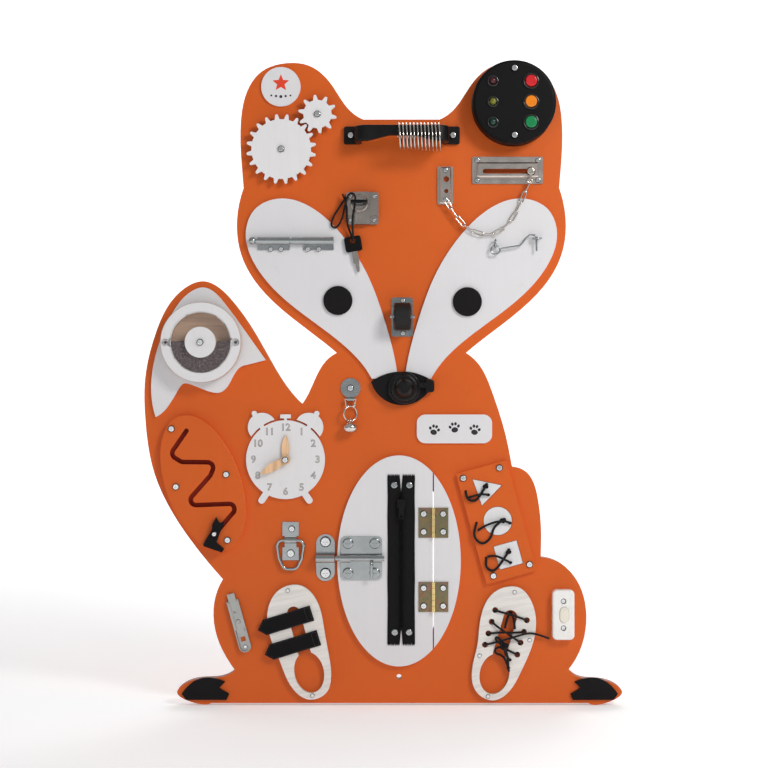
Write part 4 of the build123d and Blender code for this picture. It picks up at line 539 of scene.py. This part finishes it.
cord("triangle_cord_braid",
     [(83.5, 232.9, 2), (83.3, 233.2, 8.9), (85.5, 222.5, 9.9), (96, 220.5, 7.9), (103, 230.5, 7.9),
      (108.5, 240, 7.7)], 3.0, 48.3, "triangle", "triangle_cord")
cord("circle_cord_braid",
     [(97, 193.5, 2), (96.8, 193, 8.9), (92.5, 177, 8.9), (103.5, 166, 7.9), (115.5, 174.5, 7.9),
      (118.5, 190.5, 7.9), (130, 197, 7.7)], 3.0, 77.1, "circle", "circle_cord")
cord("square_cord_braid",
     [(109, 149.7, 2), (109.2, 149.5, 8.9), (108.5, 137.5, 8.9), (118, 132.5, 7.9), (127, 142, 7.9),
      (137, 158, 7.7)], 3.0, 57.8, "square", "square_cord")

lace_low, lace_on, lace_over, lace_top = 1.7, 7.7, 10.8, 13.9
left_eyelets = [(120.4, 84.5), (116, 69.8), (111.9, 55.3), (107.6, 41.2)]
right_eyelets = [(160, 71.8), (156.4, 57.2), (152.2, 43.7), (148, 28.7)]


def through(first, second):
    """Down one eyelet, across behind the shoe and up the next."""
    return [(*first, lace_on), (*first, lace_low), (*second, lace_low), (*second, lace_on)]


cord("shoelace_braid",
     [(188.3, 48.4, 3), (175.5, 53.5, 5.5), (163, 56.6, 9.5), (150.5, 54, lace_top),
      (138, 50.2, lace_top), (122.5, 45, lace_on + 2)]
     + through(left_eyelets[3], left_eyelets[2])
     + [(127.5, 56.8, lace_on), (143, 56.4, lace_on)]
     + through(right_eyelets[1], right_eyelets[0])
     + [(147, 76.8, lace_on + 0.4), (133.5, 80.4, lace_on + 0.4)]
     + through(left_eyelets[0], left_eyelets[1])
     + [(126.5, 61.5, lace_over - 0.4), (137, 54.6, lace_over)]
     + through(right_eyelets[2], right_eyelets[3])
     + [(136.5, 34.6, lace_on), (127, 38.8, lace_on), (119.6, 36.6, lace_on), (120.6, 30.2, lace_on),
        (128.6, 28.6, lace_on), (135, 19.5, lace_on), (137.5, 8, lace_on - 0.2)],
     2.7, 374.3, "board", "shoelace")

cord("key_cord_braid",
     [(-66.2, 601.5, 5.6), (-74.5, 589, 6.6), (-83, 575.5, 6.6), (-85.5, 565, 6.4), (-78, 562, 6.6),
      (-71, 574, 8.6), (-67.6, 590, 12), (-64.6, 602, 15.6), (-59, 606.4, 16.9), (-54.2, 601.2, 17.2),
      (-54.9, 592, 17.2), (-57.4, 580, 14.6), (-58.6, 568, 11.55), (-57.4, 555.5, 10.15),
      (-58, 546.5, 10.15), (-58, 546.5, 3.85), (-60.6, 556.5, 3.85), (-64.8, 567, 6.4),
      (-65.2, 576, 11.4), (-65.6, 594, 11.8), (-70.6, 605, 6.4)],
     2.5, 225.6, "board", "key_cord")


# ---- mesh helpers ----

def piece(name, mesh, material, body, smooth=False, replaced=()):
    mesh.materials.append(finish[material])
    if smooth:
        mesh.shade_smooth()
    obj = bpy.data.objects.new(name, mesh)
    bpy.context.collection.objects.link(obj)
    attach(obj, body)
    if replaced:
        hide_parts(*replaced)
    return obj


def bridge(form, rings):
    """Side faces between rings that have the same number of corners."""
    count = len(rings[0])
    for lower, upper in zip(rings, rings[1:]):
        for i in range(count):
            form.faces.new((lower[i], lower[(i + 1) % count], upper[(i + 1) % count], upper[i]))


def finished(form, name):
    """The form as a mesh, with its faces looking outwards."""
    bmesh.ops.recalc_face_normals(form, faces=form.faces)
    mesh = bpy.data.meshes.new(name)
    form.to_mesh(mesh)
    form.free()
    return mesh


def round_ring(form, x, y, radii, h):
    """One ring of corners about a centre, with a radius for each corner."""
    step = 360 / len(radii)
    return [form.verts.new(at(*polar(x, y, r, i * step), h)) for i, r in enumerate(radii)]


def plates(name, *parts):
    """Raised flat shapes: each part is an outline, its low and high faces and the width of its soft edge."""
    form = bmesh.new()
    for outline, low, high, soft in parts:
        count = len(outline)
        cx, cy = sum(p[0] for p in outline) / count, sum(p[1] for p in outline) / count
        rings = [[form.verts.new(at(x, y, low)) for x, y in outline]]
        if soft:
            rings.append([form.verts.new(at(x, y, high - soft)) for x, y in outline])
            top = []
            for x, y in outline:
                far = max(math.hypot(x - cx, y - cy), 1e-6)
                keep = (far - soft) / far
                top.append(form.verts.new(at(cx + (x - cx) * keep, cy + (y - cy) * keep, high)))
            rings.append(top)
        else:
            rings.append([form.verts.new(at(x, y, high)) for x, y in outline])
        bridge(form, rings)
        form.faces.new(rings[-1])
        form.faces.new(rings[0][::-1])
    return finished(form, name)


def grain_ball():
    form = bmesh.new()
    bmesh.ops.create_icosphere(form, subdivisions=2, radius=1.0)
    corners = [v.co.copy() for v in form.verts]
    faces = [tuple(v.index for v in f.verts) for f in form.faces]
    form.free()
    return corners, faces


ball_corners, ball_faces = grain_ball()


def beads(name, items):
    """Many small rounded bodies in one mesh: centre (x, y, h), in-plane direction, and three half sizes."""
    verts, faces = [], []
    for (x, y, h), direction, (long, wide, tall) in items:
        c, s = math.cos(direction), math.sin(direction)
        first = len(verts)
        for p in ball_corners:
            u, v = p.x * long, p.y * wide
            verts.append(at(x + u * c - v * s, y + u * s + v * c, h + p.z * tall))
        faces += [tuple(first + i for i in face) for face in ball_faces]
    mesh = bpy.data.meshes.new(name)
    mesh.from_pydata(verts, [], faces)
    mesh.update()
    return mesh


def circle(x, y, radius, count=28, squash=1.0, turn=0.0):
    spot = turned(x, y, turn)
    bearings = [2 * math.pi * i / count for i in range(count)]
    return [spot(radius * math.cos(a), squash * radius * math.sin(a)) for a in bearings]


# ---- chain: a copy of the chain node's mesh, set in place ----

links = bpy.data.objects.new("door_chain_links", nodes["door_chain"].data.copy())
bpy.context.collection.objects.link(links)
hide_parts("door_chain")
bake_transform(links)


# ---- zip: two tapes with pinked ends, raised ribs and a nylon coil ----

zip_x, zip_low, zip_high, zip_half, tape_low = 2.7, 39.8, 254.9, 17.3, 6.0
coil_low, coil_high, coil_pitch = 62.4, 233.0, 1.5
pinking = 2.7


def tape_side(sign):
    """One tape from its inner edge at the coil to its outer edge, with zigzag cut ends."""
    inner = zip_x + sign * 0.15
    points = [(inner, 62), (inner, coil_high)]
    teeth = 7
    for end, base in ((1, zip_high), (-1, zip_low)):
        edge = base - end * pinking
        row = []
        for i in range(teeth * 2 + 1):
            x = zip_x + sign * (1.7 + (zip_half - 1.7) * i / (teeth * 2))
            row.append((x, base - 0.1 * end if i % 2 else edge + end * 0.5 * math.sin(i * 1.7)))
        points += row if end == 1 else row[::-1]
        if end == 1:
            for i in range(1, 8):
                y = zip_high - 1.9 - (zip_high - zip_low - 3.8) * i / 8
                points.append((zip_x + sign * (zip_half - 0.25 - 0.25 * math.sin(i * 2.3)), y))
    return points


def tape_ribs(sign):
    ribs = []
    for offset, wide, high in ((3.6, 1.5, 0.45), (6.2, 0.7, 0.22), (14.9, 0.6, 0.2), (16.3, 0.8, 0.28)):
        x0, x1 = sorted((zip_x + sign * offset, zip_x + sign * (offset + wide)))
        x1 = min(x1, zip_x + zip_half - 0.6)
        x0 = max(x0, zip_x - zip_half + 0.6)
        ribs.append(([(x0, 43.5), (x1, 43.5), (x1, 251), (x0, 251)], tape_low + 0.9,
                     tape_low + 1.0 + high, 0))
    return ribs


tape_mesh = plates("zip_tapes", *[(tape_side(s), tape_low, tape_low + 1.0, 0) for s in (-1, 1)],
                   *tape_ribs(-1), *tape_ribs(1))
piece("zip_tapes", tape_mesh, "tape", "door", replaced=("zipper_tape",))

coil_turns = []
for i in range(round((coil_high - coil_low) / coil_pitch)):
    y = coil_low + i * coil_pitch
    for sign in (-1, 1):
        coil_turns.append(((zip_x + sign * 0.95, y + sign * coil_pitch / 4, 7.75), math.radians(6 * sign),
                           (1.5, 0.42, 0.85)))
piece("zip_coil", beads("zip_coil", coil_turns), "coil", "door", smooth=True)
stops = [((zip_x + dx, coil_low - 1.8, 8.1), 0.0, (1.3, 1.7, 0.8)) for dx in (-1.1, 1.1)]
piece("zip_stop", beads("zip_stop", stops), "coil", "door", smooth=True)


# ---- hook-and-loop straps, sewn down at the right ends ----

def strap(name, x, y, body, node):
    spot = turned(x, y, strap_tilt)
    edge = [(0, -9.9), (0, 9.9), (-30, 9.75), (-61.5, 9.9), (-71, -0.8), (-62.0, -9.9), (-30, -9.75)]
    patch = [(-0.5, -9.2), (-0.5, 9.2), (-9.0, 9.2), (-9.0, -9.2)]
    mesh = plates(name, ([spot(*p) for p in edge], 6.3, 8.45, 0.35),
                  ([spot(*p) for p in patch], 8.3, 8.75, 0.3))
    piece(name, mesh, "pile", body, replaced=(node,))
    stitches = []

    def seam(start, end):
        """Stitches from end to end, higher where they cross the sewn patch."""
        count = max(2, round(math.hypot(end[0] - start[0], end[1] - start[1]) / 2.3))
        way = math.atan2(end[1] - start[1], end[0] - start[0]) + math.radians(strap_tilt)
        for i in range(count):
            t = (i + 0.5) / count
            u, v = start[0] + (end[0] - start[0]) * t, start[1] + (end[1] - start[1]) * t
            stitches.append(((*spot(u, v), 8.75 if u > -9 else 8.45), way, (0.85, 0.24, 0.2)))

    box = [(-1.6, -8.2), (-1.6, 8.2), (-7.9, 8.2), (-7.9, -8.2)]
    for a, b in zip(box, box[1:] + box[:1]):
        seam(a, b)
    seam((-10, 8.7), (-60, 8.7))
    seam((-10, -8.7), (-60, -8.7))
    seam((-61, 8.4), (-69.2, -0.8))
    seam((-61, -8.4), (-69.2, -0.8))
    piece(name + "_stitching", beads(name + "_stitching", stitches), "thread", body,
          smooth=True)


strap("strap_upper_tape", -109.0, 81.0, "upper_strap", "strap_upper")
strap("strap_lower_tape", -100.3, 50.3, "lower_strap", "strap_lower")


# ---- loose seeds in the shaker ----

def shaker_seeds():
    """A front layer in the lower half of the well, and a heap along each end of its level top."""
    step, items = 1.72, []
    for row in range(26):
        y = shaker_y - 0.4 - row * step * 0.866
        for column in range(-24, 25):
            x = shaker_x + (column + 0.5 * (row % 2)) * step
            r = math.hypot(x - shaker_x, y - shaker_y)
            if 20.2 < r < 36.0:
                jitter = rng.uniform(-0.3, 0.3), rng.uniform(-0.3, 0.3)
                size = rng.uniform(0.85, 1.12)
                items.append(((x + jitter[0], y + jitter[1], 21.15 + rng.uniform(-0.25, 0.12)),
                              rng.uniform(0, math.pi), (1.12 * size, 0.88 * size, 0.75 * size)))
    for side in (-1, 1):
        for i in range(10):
            for j in range(7):
                x = shaker_x + side * (20.6 + i * 1.66)
                y = shaker_y - 0.1 + rng.uniform(-0.5, 0.5)
                h = 10.6 + j * 1.7 + rng.uniform(-0.3, 0.3)
                items.append(((x, y, h), rng.uniform(0, math.pi), (1.05, 0.9, 0.9)))
    return items


piece("shaker_seeds", beads("shaker_seeds", shaker_seeds()), "seeds", "board", smooth=True)


# ---- clock numerals, drawn as thin outlines ----

def numerals():
    """The hours as thin outlines on a ring round the clock's centre."""
    ring_r = 40.2
    form = bmesh.new()
    for hour in range(1, 13):
        text = bpy.data.curves.new("numeral", "FONT")
        text.body = str(hour)
        text.size = 0.0125
        text.align_x, text.align_y = "CENTER", "CENTER"
        text.fill_mode = "NONE"
        text.bevel_depth = 0.00030
        text.bevel_resolution = 1
        text.resolution_u = 4
        holder = bpy.data.objects.new("numeral", text)
        bpy.context.collection.objects.link(holder)
        bpy.context.view_layer.update()
        drawn = bpy.data.meshes.new_from_object(holder.evaluated_get(bpy.context.evaluated_depsgraph_get()))
        x, y = polar(clock_x, clock_y, ring_r, hour * 30)
        drawn.transform(Matrix.Translation(at(x, y, clock_thick)) @ Matrix.Rotation(math.pi / 2, 4, "X"))
        form.from_mesh(drawn)
        bpy.data.objects.remove(holder)
        bpy.data.meshes.remove(drawn)
        bpy.data.curves.remove(text)
    mesh = bpy.data.meshes.new("clock_numerals")
    form.to_mesh(mesh)
    form.free()
    mesh.materials.clear()
    return mesh


piece("clock_numerals", numerals(), "print_grey", "board")


# ---- generic prints on the badge and the name plate ----

def star(x, y, outer, inner, points=5):
    return [polar(x, y, outer if i % 2 == 0 else inner, i * 180 / points) for i in range(points * 2)]


print_low, print_high, dot_high = 2.9, 3.08, 3.07
badge_shape = star(badge_x, badge_y + 4.5, 11.0, 4.9)
piece("badge_star", plates("badge_star", (badge_shape, print_low, print_high, 0)), "print_red", "board")
dots = [(circle(badge_x + dx, badge_y - 12.5 + abs(dx) * 0.12, r), print_low, dot_high, 0)
        for dx, r in ((-12, 1.2), (-6, 1.5), (0, 1.9), (6, 1.5), (12, 1.2))]
piece("badge_dots", plates("badge_dots", *dots), "print_black", "board")


def paw(x, y, size, tilt):
    spot = turned(x, y, tilt)
    pad = circle(*spot(0, -2.2 * size), 3.6 * size, squash=0.8, turn=tilt)
    parts = [(pad, print_low, print_high, 0)]
    for dx, dy in ((-4.6, 1.4), (-1.7, 4.3), (1.7, 4.3), (4.6, 1.4)):
        toe = circle(*spot(dx * size, dy * size), 1.45 * size, 18, 1.25, tilt - dx * 6)
        parts.append((toe, print_low, dot_high, 0))
    return parts


paws = paw(44, 309.5, 1.15, -14) + paw(69.5, 312.5, 1.15, 8) + paw(95, 309.5, 1.15, -10)
piece("name_plate_paws", plates("name_plate_paws", *paws), "print_black", "board")


# ---- knots, free ends and turns of the cords ----

def knot(name, centre, size, thread, turn, body):
    """A drawn-down overhand knot: a tube that follows a trefoil."""
    verts, faces, around, sides = [], [], 96, 10
    spot = turned(centre[0], centre[1], turn)

    def place(t):
        u = size * (math.sin(t) + 2 * math.sin(2 * t)) / 3
        v = size * (math.cos(t) - 2 * math.cos(2 * t)) / 3
        return at(*spot(u, v * 0.8), centre[2] - size * 0.26 * math.sin(3 * t))

    for i in range(around):
        t = 2 * math.pi * i / around
        here, ahead = place(t), (place(t + 0.02) - place(t - 0.02)).normalized()
        side = ahead.cross(Vector((0, 1, 0))).normalized()
        up = side.cross(ahead)
        for j in range(sides):
            a = 2 * math.pi * j / sides
            verts.append(here + (side * math.cos(a) + up * math.sin(a)) * thread / 1000)
    for i in range(around):
        ring, next_ring = i * sides, (i + 1) % around * sides
        for j in range(sides):
            k = (j + 1) % sides
            faces.append((ring + j, ring + k, next_ring + k, next_ring + j))
    mesh = bpy.data.meshes.new(name)
    mesh.from_pydata(verts, [], faces)
    return piece(name, mesh, "knot", body, smooth=True)


tail_wide, tail_long = 2.9, 30.0


def tail(name, route, body):
    """A short strand that belongs to a cord, such as a free end, a loop or a turn, with its sealed tip."""
    obj = tube(name, route, tail_wide, tail_long)
    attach(obj, body)
    x, y, h = route[-1]
    piece(name + "_tip", beads(name + "_tip", [((x, y, h), 0.0, (2.3, 2.0, 1.9))]), "knot", body,
          smooth=True)


tail("triangle_tail", [(87, 225.5, 8.0), (93, 227.5, 10.8), (103, 230.5, 11.6), (111.7, 228.8, 8.2)],
     "triangle")
tail("circle_tail", [(98.5, 184.2, 8.0), (104, 188.5, 9.4), (113, 193, 11.6), (123, 195.8, 11.6),
                     (132, 197, 10), (138.7, 193.6, 8.2)], "circle")
tail("square_tail", [(110.5, 151.5, 8.2), (119, 153.5, 9.6), (129, 150, 11.6), (139.3, 144.1, 8.2)], "square")
tail("bow_tail_long", [(130.5, 41, 10.6), (134.2, 33, 10.2), (136.2, 23, 8.8), (136.8, 12.5, 7.6)], "board")
tail("bow_tail_short", [(129.5, 41.5, 10.8), (131.6, 34, 11.6), (135, 27, 10.6), (138.6, 22.5, 7.8)], "board")
tail("bow_loop_left", [(130.5, 41, 10.6), (124, 44.5, 12), (119.6, 50, 10.4), (123.4, 52, 9.2),
                       (130, 44, 10.6)], "board")
tail("lace_turn_left", [(132.4, 62, 7.4), (134.2, 70, 7.2), (137, 77.5, 4.2), (139, 80.4, 1.9)], "board")
tail("lace_turn_right", [(144.8, 61, 7.4), (144.4, 69, 7.2), (142.6, 77, 4.2), (140.6, 80.4, 1.9)], "board")
knot("triangle_knot", (108.5, 240.0, 8.9), 3.0, 1.3, 40, "triangle")
knot("circle_knot", (130.0, 197.0, 8.9), 3.0, 1.3, 10, "circle")
knot("square_knot", (137.0, 158.0, 8.9), 3.0, 1.3, 60, "square")
knot("lace_knot", (130.5, 41.0, 11.4), 5.2, 1.6, -25, "board")


# ---- collars of the signal box, and the screw of the maze figure ----

def screw_head(name, x, y, seat, radius, tall, body):
    """Domed head with a cross recess sunk into it."""
    form = bmesh.new()
    rings, count = [], 40
    for wide, high in ((1.0, 0.0), (1.0, 0.35), (0.9, 0.72), (0.68, 0.95), (0.5, 1.0)):
        rings.append(round_ring(form, x, y, [radius * wide] * count, seat + tall * high))
    cross = []
    for i in range(count):
        turn = (i * 360 / count) % 90
        arm = min(turn, 90 - turn)
        cross.append(radius * (0.46 if arm < 14 else 0.2))
    for high in (1.0, 0.35):
        rings.append(round_ring(form, x, y, cross, seat + tall * high))
    bridge(form, rings)
    form.faces.new(rings[-1])
    return piece(name, finished(form, name), "screw", body)


def bezel(name, x, y, inner, outer, tall):
    """Rounded collar that frames a lamp or a push button."""
    form = bmesh.new()
    count, steps, rings = 48, 12, []
    seat = case_depth + rim_height - 0.15
    middle, half = (inner + outer) / 2, (outer - inner) / 2
    for j in range(steps + 1):
        lean = math.pi * j / steps
        r, h = middle - half * math.cos(lean), seat + tall * math.sin(lean)
        rings.append(round_ring(form, x, y, [r] * count, h))
    bridge(form, rings)
    return piece(name, finished(form, name), "collar", "board", smooth=True)


for row, label in ((1, "upper"), (0, "middle"), (-1, "lower")):
    y = case_y + row * row_pitch
    bezel("lamp_collar_" + label, case_x + lamp_dx, y, 4.7, 6.9, 0.7)
    bezel("button_collar_" + label, case_x + button_dx, y, 7.8, 9.8, 0.8)

screw_head("figure_screw", -230.3, 180.5, 16.7, 3.5, 1.9, "maze_runner")


# ---- painted shade: a dark sheet on the floor of the maze channel, seen through the groove ----

maze_spot = turned(maze_x, maze_y, maze_tilt)
floor_half_wide, floor_half_long = 44.0, 85.0
bearings = [i * math.pi / 30 for i in range(60)]
channel = [maze_spot(floor_half_wide * math.cos(a), floor_half_long * math.sin(a)) for a in bearings]
# The sheet stands in for the board's orange face in shade under the groove.
piece("maze_channel_shade_sheet", plates("maze_channel_shade_sheet", (channel, 0.05, 0.25, 0)), "groove", "board")


# ---- room: pale floor and sweep, soft light from the front right ----

def sweep(level):
    """Paper that lies flat, bends up behind the board and glows more with its distance."""
    flat_end, bend_r, steps = 3.5, 2.0, 16
    profile = [(-7.0, level), (-3.0, level), (0.0, level), (flat_end, level)]
    for i in range(1, steps + 1):
        turn = i / steps * math.pi / 2
        profile.append((flat_end + bend_r * math.sin(turn), level + bend_r * (1 - math.cos(turn))))
    profile.append((flat_end + bend_r, 7.0))
    verts = [(x, y, z) for y, z in profile for x in (-8.0, -3.0, 0.0, 3.0, 8.0)]
    faces = [(r * 5 + c, r * 5 + c + 1, r * 5 + c + 6, r * 5 + c + 5)
             for r in range(len(profile) - 1) for c in range(4)]
    mesh = bpy.data.meshes.new("studio_sweep")
    mesh.from_pydata(verts, [], faces)
    mesh.shade_smooth()
    f = Finish("sweep_paper", 0.9, Specular_IOR_Level=0.1)
    f.colour(f.ramp(f.noise(0.6), (0.3, (0.86, 0.86, 0.87, 1)), (0.7, (0.9, 0.9, 0.9, 1))))
    f.shader.inputs["Emission Color"].default_value = (1, 1, 1, 1)
    glow = f.add("ShaderNodeSeparateXYZ", {0: f.place.outputs["Object"]})
    near, far, faint, strong = 0.6, 3.6, 0.31, 0.72
    reach = f.add("ShaderNodeMapRange", {0: glow.outputs[1], 1: near, 2: far, 3: faint, 4: strong})
    f.tree.links.new(reach.outputs[0], f.shader.inputs["Emission Strength"])
    mesh.materials.append(f.material)
    obj = bpy.data.objects.new("studio_sweep", mesh)
    bpy.context.collection.objects.link(obj)


sweep(cad_box[0][2] - 0.0004)


def soft_light(name, place, target, size, watts, colour=(1, 1, 1)):
    """A round area light that looks at its target."""
    lamp = bpy.data.lights.new(name, "AREA")
    lamp.shape = "DISK"
    lamp.size = size
    lamp.energy = watts
    lamp.color = colour
    obj = bpy.data.objects.new(name, lamp)
    obj.location = place
    obj.rotation_euler = (Vector(target) - Vector(place)).to_track_quat("-Z", "Y").to_euler()
    bpy.context.collection.objects.link(obj)


soft_light("key", (0.90, -1.18, 1.20), (0.0, 0, 0.36), 0.5, 11.7, (1.0, 0.985, 0.965))
soft_light("fill", (-0.9, -2.2, 0.35), (0, 0, 0.2), 1.6, 2.4, (0.96, 0.98, 1.0))
soft_light("back", (0.6, 2.0, 1.5), (0, 0, 0.36), 1.2, 14.0)


def room():
    """Even grey light that grows a little brighter upwards."""
    world = bpy.data.worlds.new("room")
    world.use_nodes = True
    tree = world.node_tree
    tree.nodes.clear()
    where = tree.nodes.new("ShaderNodeTexCoord")
    split = tree.nodes.new("ShaderNodeSeparateXYZ")
    band = tree.nodes.new("ShaderNodeValToRGB")
    sky = tree.nodes.new("ShaderNodeBackground")
    out = tree.nodes.new("ShaderNodeOutputWorld")
    tree.links.new(where.outputs["Generated"], split.inputs[0])
    tree.links.new(split.outputs[2], band.inputs["Fac"])
    stops = ((0.0, (0.23, 0.23, 0.235, 1)), (0.8, (0.36, 0.36, 0.36, 1)))
    for element, (position, colour) in zip(band.color_ramp.elements, stops):
        element.position = position
        element.color = colour
    tree.links.new(band.outputs[0], sky.inputs["Color"])
    tree.links.new(sky.outputs[0], out.inputs["Surface"])
    bpy.context.scene.world = world


room()
bpy.context.scene.view_settings.view_transform = "Standard"
bpy.context.scene.view_settings.look = "None"
